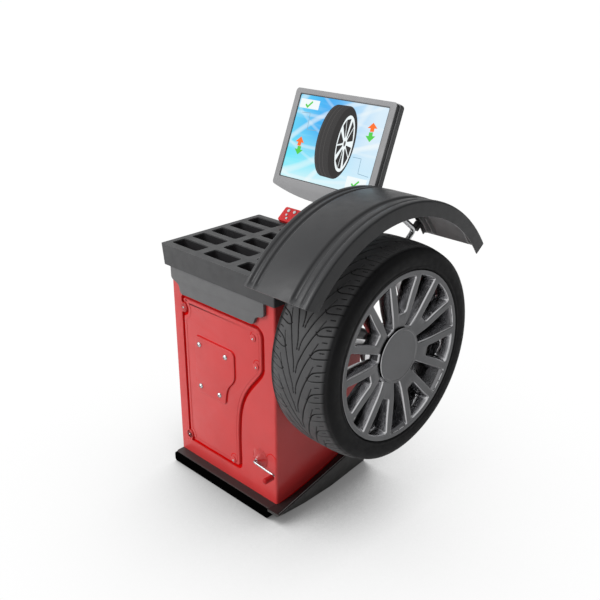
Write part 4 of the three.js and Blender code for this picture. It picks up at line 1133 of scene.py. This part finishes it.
def build_arm():
    (py, pz), (ey, ez), (ty, tz) = ARM["pivot"], ARM["elbow"], ARM["end"]
    path = filleted([(104, py, pz), (ARM["x"], py, pz), (ARM["x"], ey, ez), (ARM["x"], ty, tz)], 22, 12)
    bar = tube("guard_arm_bar", path, ARM["radius"], 28, 0)
    dress(bar, "tube", "guard", ["guard_arm"])
    collar = [(141, 9), (141, 13), (142, 14), (148, 14), (149, 13), (149, 9)]
    collar = lathe("guard_arm_collar", collar, 40, (py, pz))
    dress(smooth(collar), "steel", "guard")
    for i, (y, z, half) in enumerate(((ty + 12, tz - 10, 14), (ey + 2, ez + 4, 9))):
        angle = math.atan2(z - GUARD["z"], y)
        reach = GUARD["radius"] - 16.5
        low = math.hypot(y, z - GUARD["z"]) - 6
        clamp = block(ARM["x"] - 8, ARM["x"] + 13, -half, half, low, reach)
        turn = Matrix.Rotation(angle - math.pi / 2, 4, "X")
        clamp.data.transform(Matrix.Translation((0, 0, GUARD["z"] * MM)) @ turn)
        dress(rounded(clamp, 2.5, 3), "hood", "guard")
        clamp.name = f"guard_clamp_{i + 1}"


# ---------- monitor ----------
SCREEN = {"width": 424.5, "height": 328, "bow": 26, "corner": 12, "front": 80, "lean": 21.9}
GLASS = {"left": -190, "right": 190, "top": 147, "bottom": -133}
FACE = Matrix.Translation(SCREEN_PIVOT * MM) @ Matrix.Rotation(math.radians(90 - SCREEN["lean"]), 4, "X")


def face_level(z):
    return FACE @ Matrix.Translation((0, 0, z * MM))


def bezel_outline(grow=0.0):
    """Rounded rectangle whose lower edge bows down."""
    w, h, r = SCREEN["width"] / 2 + grow, SCREEN["height"] / 2 + grow, SCREEN["corner"] + grow
    points = arc(w - r, h - r, r, 0, 90, 8) + arc(-w + r, h - r, r, 90, 180, 8)
    points += arc(-w + r, -h + r, r, 180, 243, 8)
    foot_x, foot_y = -points[-1][0], points[-1][1]
    low = -h - 2 * SCREEN["bow"]
    for k in range(1, 24):
        t = k / 24
        points.append((foot_x * (2 * t - 1), foot_y * (1 - 2 * t + 2 * t * t) + low * 2 * t * (1 - t)))
    return points + arc(w - r, -h + r, r, 297, 360, 8)


def glass_outline(grow=0.0):
    left, right, top, bottom = GLASS.values()
    return rounded_rect(left - grow, right + grow, bottom - grow, top + grow, 4 + max(grow, 0), 4)


def layer(name, look, outlines, thickness, edge, level, replaces=(), slot="silver_plastic", steps=2):
    """Plate parallel to the screen, its back at a level in front of the tilt pivot."""
    piece = slab(name, outlines, thickness, edge, face_level(level), steps)
    return dress(piece, look, "monitor", replaces)


def build_monitor():
    front = SCREEN["front"]
    face = [bezel_outline(), glass_outline()]
    layer("bezel_face", "silver", face, 4, 1.4, front - 4, ["monitor_bezel"], steps=3)
    layer("bezel_core", "screen_edge", [bezel_outline(-1.8), glass_outline(1.2)], 15, 0.8, front - 18.5)
    layer("bezel_lining", "screen_edge", [glass_outline(0.6), glass_outline(-2.6)], 3.0, 0.6, front - 4.2)
    layer("shell_middle", "shell", [bezel_outline(0)], 19, 3.0, front - 38, ["monitor_shell"], steps=3)
    # Band of painted highlight along the shell's front edge.
    layer("shell_front_edge", "shell_edge_highlight", [bezel_outline(0.3)], 3, 1.0, front - 21)
    layer("shell_rear", "screen_edge", [bezel_outline(-0.6)], 7, 2.4, front - 42, steps=3)
    rings = []
    for level, inset in ((40, 0), (32, 4), (28, 12), (25, 24), (24, 38)):
        outline = rounded_rect(-170 + inset, 170 - inset, -130 + inset, 130 - inset, 16, 6)
        rings.append([tuple(FACE @ (Vector((u, v, level)) * MM) / MM) for u, v in outline])
    dress(smooth(loft("shell_bulge", rings), 60), "screen_edge", "monitor")
    layer("shell_mount", "black", [rounded_rect(-50, 50, -50, 50, 4)], 4, 1, 22)
    for i in range(9):
        v = 70 + i * 6
        vent = rounded_rect(-90, 90, v - 1.4, v + 1.4, 1.3, 3)
        layer(f"shell_vent_{i + 1}", "black", [vent], 1.6, 0.4, 23.2)


def display_point(sx, sy):
    """Display coordinates run right and down from the bezel's top left corner."""
    return (sx - SCREEN["width"] / 2, SCREEN["height"] / 2 - sy)


def on_display(name, outlines, look, level, thickness=0.3):
    """Coloured shape on the display; outlines in display coordinates."""
    outlines = [[display_point(*p) for p in outline] for outline in outlines]
    return layer(name, look, outlines, thickness, 0.05, level, slot="screen", steps=0)


def on_ellipse(shape, degrees, share=1.0):
    """Point on an ellipse (centre, long half-axis near the vertical, short half-axis, clockwise tilt)."""
    cx, cy, a, b, tilt = shape
    t, lean = math.radians(degrees), math.radians(tilt)
    u, v = b * share * math.cos(t), a * share * math.sin(t)
    return cx + u * math.cos(lean) - v * math.sin(lean), cy + u * math.sin(lean) + v * math.cos(lean)


def ellipse(cx, cy, a, b, tilt=0.0, start=0, end=360, steps=48):
    return [on_ellipse((cx, cy, a, b, tilt), start + (end - start) * k / steps) for k in range(steps + 1)]


def arrow(tip, base, half, stem):
    """Block arrow from base to tip in display coordinates."""
    tip, base = Vector(tip), Vector(base)
    along = (tip - base).normalized()
    side = Vector((-along.y, along.x))
    neck = base + along * ((tip - base).length * 0.38)
    corners = (base - side * stem, base + side * stem, neck + side * stem, neck + side * half,
               tip, neck - side * half, neck - side * stem)
    return [tuple(p) for p in corners]


def stroke(points, width):
    """Outline of a bent line of constant width."""
    left, right = [], []
    pts = [Vector(p) for p in points]
    for i, p in enumerate(pts):
        a, b = pts[max(i - 1, 0)], pts[min(i + 1, len(pts) - 1)]
        u, v = (p - a).normalized() if p != a else (b - p).normalized(), (b - p).normalized()
        v = v if v.length else u
        normal = Vector((-(u.y + v.y), u.x + v.x)).normalized()
        reach = width / 2 / max(0.5, normal.dot(Vector((-u.y, u.x))))
        left.append(tuple(p + normal * reach))
        right.append(tuple(p - normal * reach))
    return left + right[::-1]


def build_pane():
    """Glass whose UV map spans the opening of the bezel."""
    left, right, top, bottom = GLASS.values()
    pane = [glass_outline(-1)]
    behind = SCREEN["front"] - 13
    pane = layer("display_pane", "display", pane, 9, 0.4, behind, ["monitor_glass"], "screen", 1)
    mesh = pane.data
    uv_map = mesh.uv_layers.new(name="display")
    uv_map.active_render = True
    inverse = FACE.inverted()
    for loop in mesh.loops:
        p = inverse @ mesh.vertices[loop.vertex_index].co / MM
        uv_map.data[loop.index].uv = (p.x - left) / (right - left), (p.y - bottom) / (top - bottom)


DISPLAY_LEVEL = SCREEN["front"] - 4


def build_display_marks():
    """White boxes with ticks, arrows and lines beside the wheel."""
    base = DISPLAY_LEVEL
    for i, (x0, x1, y0, y1) in enumerate(((30, 114, 33, 63), (308, 388, 246, 283))):
        on_display(f"display_box_{i + 1}", [rounded_rect(x0, x1, y0, y1, 1.5, 2)], "glow_white", base)
        cx, cy = (x0 + x1) / 2 - 3, (y0 + y1) / 2 + 1
        tick = stroke([(cx - 13, cy + 1), (cx - 4, cy + 9), (cx + 14, cy - 10)], 6)
        on_display(f"display_tick_{i + 1}", [tick], "glow_green", base + 0.3)
    arrows = (((73, 156), (72, 187), "glow_orange"), ((76, 216), (76, 188), "glow_green"),
              ((353, 71), (355, 99), "glow_orange"), ((356, 131), (353, 101), "glow_green"))
    for i, (tip, start, look) in enumerate(arrows):
        on_display(f"display_arrow_{i + 1}", [arrow(tip, start, 19, 7.5)], look, base)
    for i, path in enumerate((((48, 78), (84, 76), (90, 131), (131, 128)),
                              ((308, 186), (343, 186), (346, 233), (389, 236)))):
        on_display(f"display_line_{i + 1}", [stroke(path, 1.8)], "glow_line", base)


def build_display_wheel():
    base = DISPLAY_LEVEL
    body = ellipse(200, 150, 116, 57, -1, 90, 270) + ellipse(246, 150, 117, 56, -1, -90, 90)
    on_display("display_tyre", [body], "glow_tyre", base)
    for i, cx in enumerate((206, 221, 236)):
        ring = ellipse(cx, 150, 116, 57, -1, 106, 254, 36)
        on_display(f"display_groove_{i + 1}", [stroke(ring, 1.3)], "glow_groove", base + 0.3)
    on_display("display_sidewall", [ellipse(252, 150, 113, 49, -1)], "glow_wall", base + 0.3)
    rim = (262.5, 151, 90, 33, -3)
    on_display("display_rim", [ellipse(*rim)], "glow_white", base + 0.6)
    for k in range(10):
        mid = 36 * (k + 0.17 * (k % 2 == 0)) + 12
        half = 16 if k % 2 else 11
        wedge = [on_ellipse(rim, mid + half * turn, share)
                 for share, turn in ((0.24, -0.5), (0.24, 0.5), (0.9, 1.0), (0.9, -1.0))]
        on_display(f"display_spoke_gap_{k + 1}", [round_corners(wedge, 2.5, 3)], "glow_wall", base + 0.9)
    on_display("display_hub", [ellipse(262.5, 151, 9, 4, -3)], "glow_groove", base + 0.9)


# ---------- pedal ----------
PEDAL = {"reach": 96, "drop": 8, "boss": 34, "boss_tip": 9, "boss_length": 18, "bar_y": -229, "bar": 4,
         "rod_x": 118, "grip": 9.5, "grip_length": 34}


def build_pedal():
    x, z = PEDAL_AXIS.x, PEDAL_AXIS.z
    face = FRONT - 0.3
    tip = face - PEDAL["boss_length"]
    root, end = PEDAL["boss"], PEDAL["boss_tip"]
    cone = [(face + 18, 6), (face + 18, 12), (face, 13), (face, root + 2), (face - 1, root + 1.4),
            (face - 2.4, root - 2), (tip + 2, end + 1.6), (tip + 0.6, end + 0.2), (tip, end - 1), (tip, 6),
            (face + 18, 6)]
    cone = lathe("pedal_cone", cone, 11, (x, z), "y")
    dress(smooth(cone, 14), "cone", "frame", ["pedal_boss"])
    # The corner swage is a dark red line of painted shade.
    swage = [(200, 203), (208, 214), (217, 221), (227, 221), (236, 215), (241, 211)]
    crease("corner_swage", swage, 0.2, 1.3, 12)
    crease("corner_crease", [(199.5, 164), (239.5, 170)], 0.3, 0.9, 12, 0, "red")

    bar_y, px, pz = PEDAL["bar_y"], x + PEDAL["reach"], z - PEDAL["drop"]
    path = filleted([(x, 14, z), (x, bar_y, z), (px, bar_y, pz), (px, bar_y - 40, pz)], 9, 8)
    dress(tube("pedal_bar", path, PEDAL["bar"], 24, 0), "rod", "pedal", ["brake_pedal"])
    sleeve = [(tip - 1.5, 0), (tip - 1.5, 5), (tip - 1, 5.5), (14, 5.5), (14, 0)]
    sleeve = lathe("pedal_sleeve", sleeve, 32, (x, z), "y")
    dress(smooth(sleeve, 40), "rod", "pedal")
    inner = rounded_rect(PEDAL["rod_x"] - 8, x + 12, z - 8, z + 8, 7.9, 6)
    dress(slab("pedal_inner_arm", [inner], 8, 1, front_plane(13)), "steel", "pedal")
    r, near = PEDAL["grip"], bar_y - 9
    far = near - PEDAL["grip_length"]
    grip = [(near, 4.3), (near, r - 1), (near - 1, r), (far + 1.4, r), (far - 0.6, r - 0.9),
            (far - 2.2, r - 2.8), (far - 3, r - 5.5), (far - 3, 0), (far + 2, 0), (far + 2, 4.3), (near, 4.3)]
    grip = lathe("pedal_handle", grip, 48, (px, pz), "y")
    dress(smooth(grip, 40), "grip", "pedal", ["pedal_grip"])


# ---------- CAD pieces that are shown as they are ----------
KEPT = {
    "housing": ("spindle_housing", "spindle_column", "brake_drum", "drive_motor", "guard_bracket",
                "monitor_yoke", "backplate_flange", "quick_nut"),
    "steel": ("bearing_rear", "bearing_front", "spindle_shaft", "centring_cone", "cone_spring", "brake_rod"),
    "aluminium": ("encoder_disc", "spindle_pulley", "motor_pulley", "control_board_box"),
    "copper": ("piezo_sensor_vertical", "piezo_sensor_horizontal"),
    "rubber": ("drive_belt", "brake_shoe"),
    "black": ("mains_socket", "mains_rocker", "guard_limit_switch"),
    "hood": ("monitor_post",),
}


def finish_kept():
    """Rounds the edges of the CAD pieces that stay visible and gives them their materials."""
    for look, nodes in KEPT.items():
        for name in nodes:
            obj = frame["nodes"][name]
            obj.data.materials.clear()
            obj.data.materials.append(LOOKS[look])
            if "custom_normal" in obj.data.attributes:
                obj.data.attributes.remove(obj.data.attributes["custom_normal"])
            obj.data.shade_smooth()
            modify(obj, "WELD", merge_threshold=0.02 * MM)
            modify(obj, "BEVEL", width=0.7 * MM, segments=2, limit_method="ANGLE", harden_normals=True,
                   angle_limit=math.radians(34), use_clamp_overlap=True)


# ---------- studio ----------
# Brightness of the floor seen by the camera, a painted shadow: open - depth * (share of the sky hidden within
# reach) ** power.
FLOOR = {"open": 1.01, "depth": 2.6, "power": 2.15, "reach": 2.0, "under": 0.45}


def build_floor():
    """Floor seen by the camera as emission with a painted soft shadow that fades to white away from the
    machine; it gives a muted bounce of light.
    """
    bpy.ops.mesh.primitive_plane_add(size=160)
    floor = bpy.context.object
    floor.name = "studio_floor"
    s = Shader("studio_floor")
    shadow_occlusion = s.add("ShaderNodeAmbientOcclusion", Distance=FLOOR["reach"])
    shadow_occlusion.samples = 24
    sky = shadow_occlusion.outputs["AO"]
    hidden = s.math("POWER", s.math("SUBTRACT", 1.0, sky), FLOOR["power"])
    bright = s.math("SUBTRACT", FLOOR["open"], s.math("MULTIPLY", hidden, FLOOR["depth"]))
    dim = s.math("ADD", s.math("MULTIPLY", sky, FLOOR["under"]), 0.04)
    seen = s.add("ShaderNodeEmission", Strength=s.math("MAXIMUM", bright, dim))
    path = s.add("ShaderNodeLightPath").outputs
    level = s.ramp(path["Is Glossy Ray"], 0, 1, 0.46, 0.9)  # brighter in reflections than as a light
    bounced = s.add("ShaderNodeBsdfDiffuse", Color=level)
    mix = s.tree.nodes.new("ShaderNodeMixShader")
    for socket, value in zip(mix.inputs, (path["Is Camera Ray"], bounced.outputs[0], seen.outputs[0])):
        s.put(socket, value)
    s.put(s.tree.nodes["Material Output"].inputs["Surface"], mix.outputs[0])
    s.tree.nodes.remove(s.bsdf)
    floor.data.materials.append(s.material)


# Metres and watts.
KEY_LIGHT = {"power": 221, "size": 3.2, "place": (-2.4, -4.6, 4.4), "aim": (0.1, 0, 0.6)}
SKY = {"toward": (-0.62, -0.50, 0.60), "dim": 0.136, "bright": 1.15}
CAMERA = {"lens": 50.36, "sensor": 36, "place": (1.8704, -1.7413, 1.7126), "down": 23.05, "turn": 44.61}


def build_light():
    """Sky that is bright behind the operator's left shoulder, and one large soft lamp."""
    SCENE.world = bpy.data.worlds.new("studio")
    sky = Nodes(SCENE.world)
    toward = Vector(SKY["toward"]).normalized()
    share = sky.vector_math("DOT_PRODUCT", sky.coordinates("Generated"), toward)
    bright = sky.ramp(share, -0.65, 0.75, SKY["dim"], SKY["bright"])
    bright.node.interpolation_type = "SMOOTHSTEP"
    background = sky.tree.nodes["Background"]
    sky.put(background.inputs["Strength"], bright)
    background.inputs["Color"].default_value = (1, 1, 1, 1)

    key = bpy.data.objects.new("key_light", bpy.data.lights.new("key_light", "AREA"))
    SCENE.collection.objects.link(key)
    key.data.energy = KEY_LIGHT["power"]
    key.data.size = KEY_LIGHT["size"]
    key.location = KEY_LIGHT["place"]
    aim = Vector(KEY_LIGHT["aim"]) - key.location
    key.rotation_euler = aim.to_track_quat("-Z", "Y").to_euler()


def build_camera():
    camera = bpy.data.objects.new("camera", bpy.data.cameras.new("camera"))
    SCENE.collection.objects.link(camera)
    camera.data.lens = CAMERA["lens"]
    camera.data.sensor_width = CAMERA["sensor"]
    camera.data.clip_end = 300
    camera.location = CAMERA["place"]
    camera.rotation_euler = (math.radians(90 - CAMERA["down"]), 0, math.radians(CAMERA["turn"]))
    SCENE.camera = camera
    SCENE.view_settings.view_transform = "Standard"
    SCENE.view_settings.look = "None"


for build in (build_plinth, build_wing, build_cabinet, build_side_hem, build_front_panel, build_tray,
              build_apron, build_keypad, build_tyre, build_barrel, build_spokes, build_hub, build_guard,
              build_arm, build_monitor, build_pane, build_display_marks, build_display_wheel, build_pedal,
              finish_kept, build_floor, build_light, build_camera):
    build()
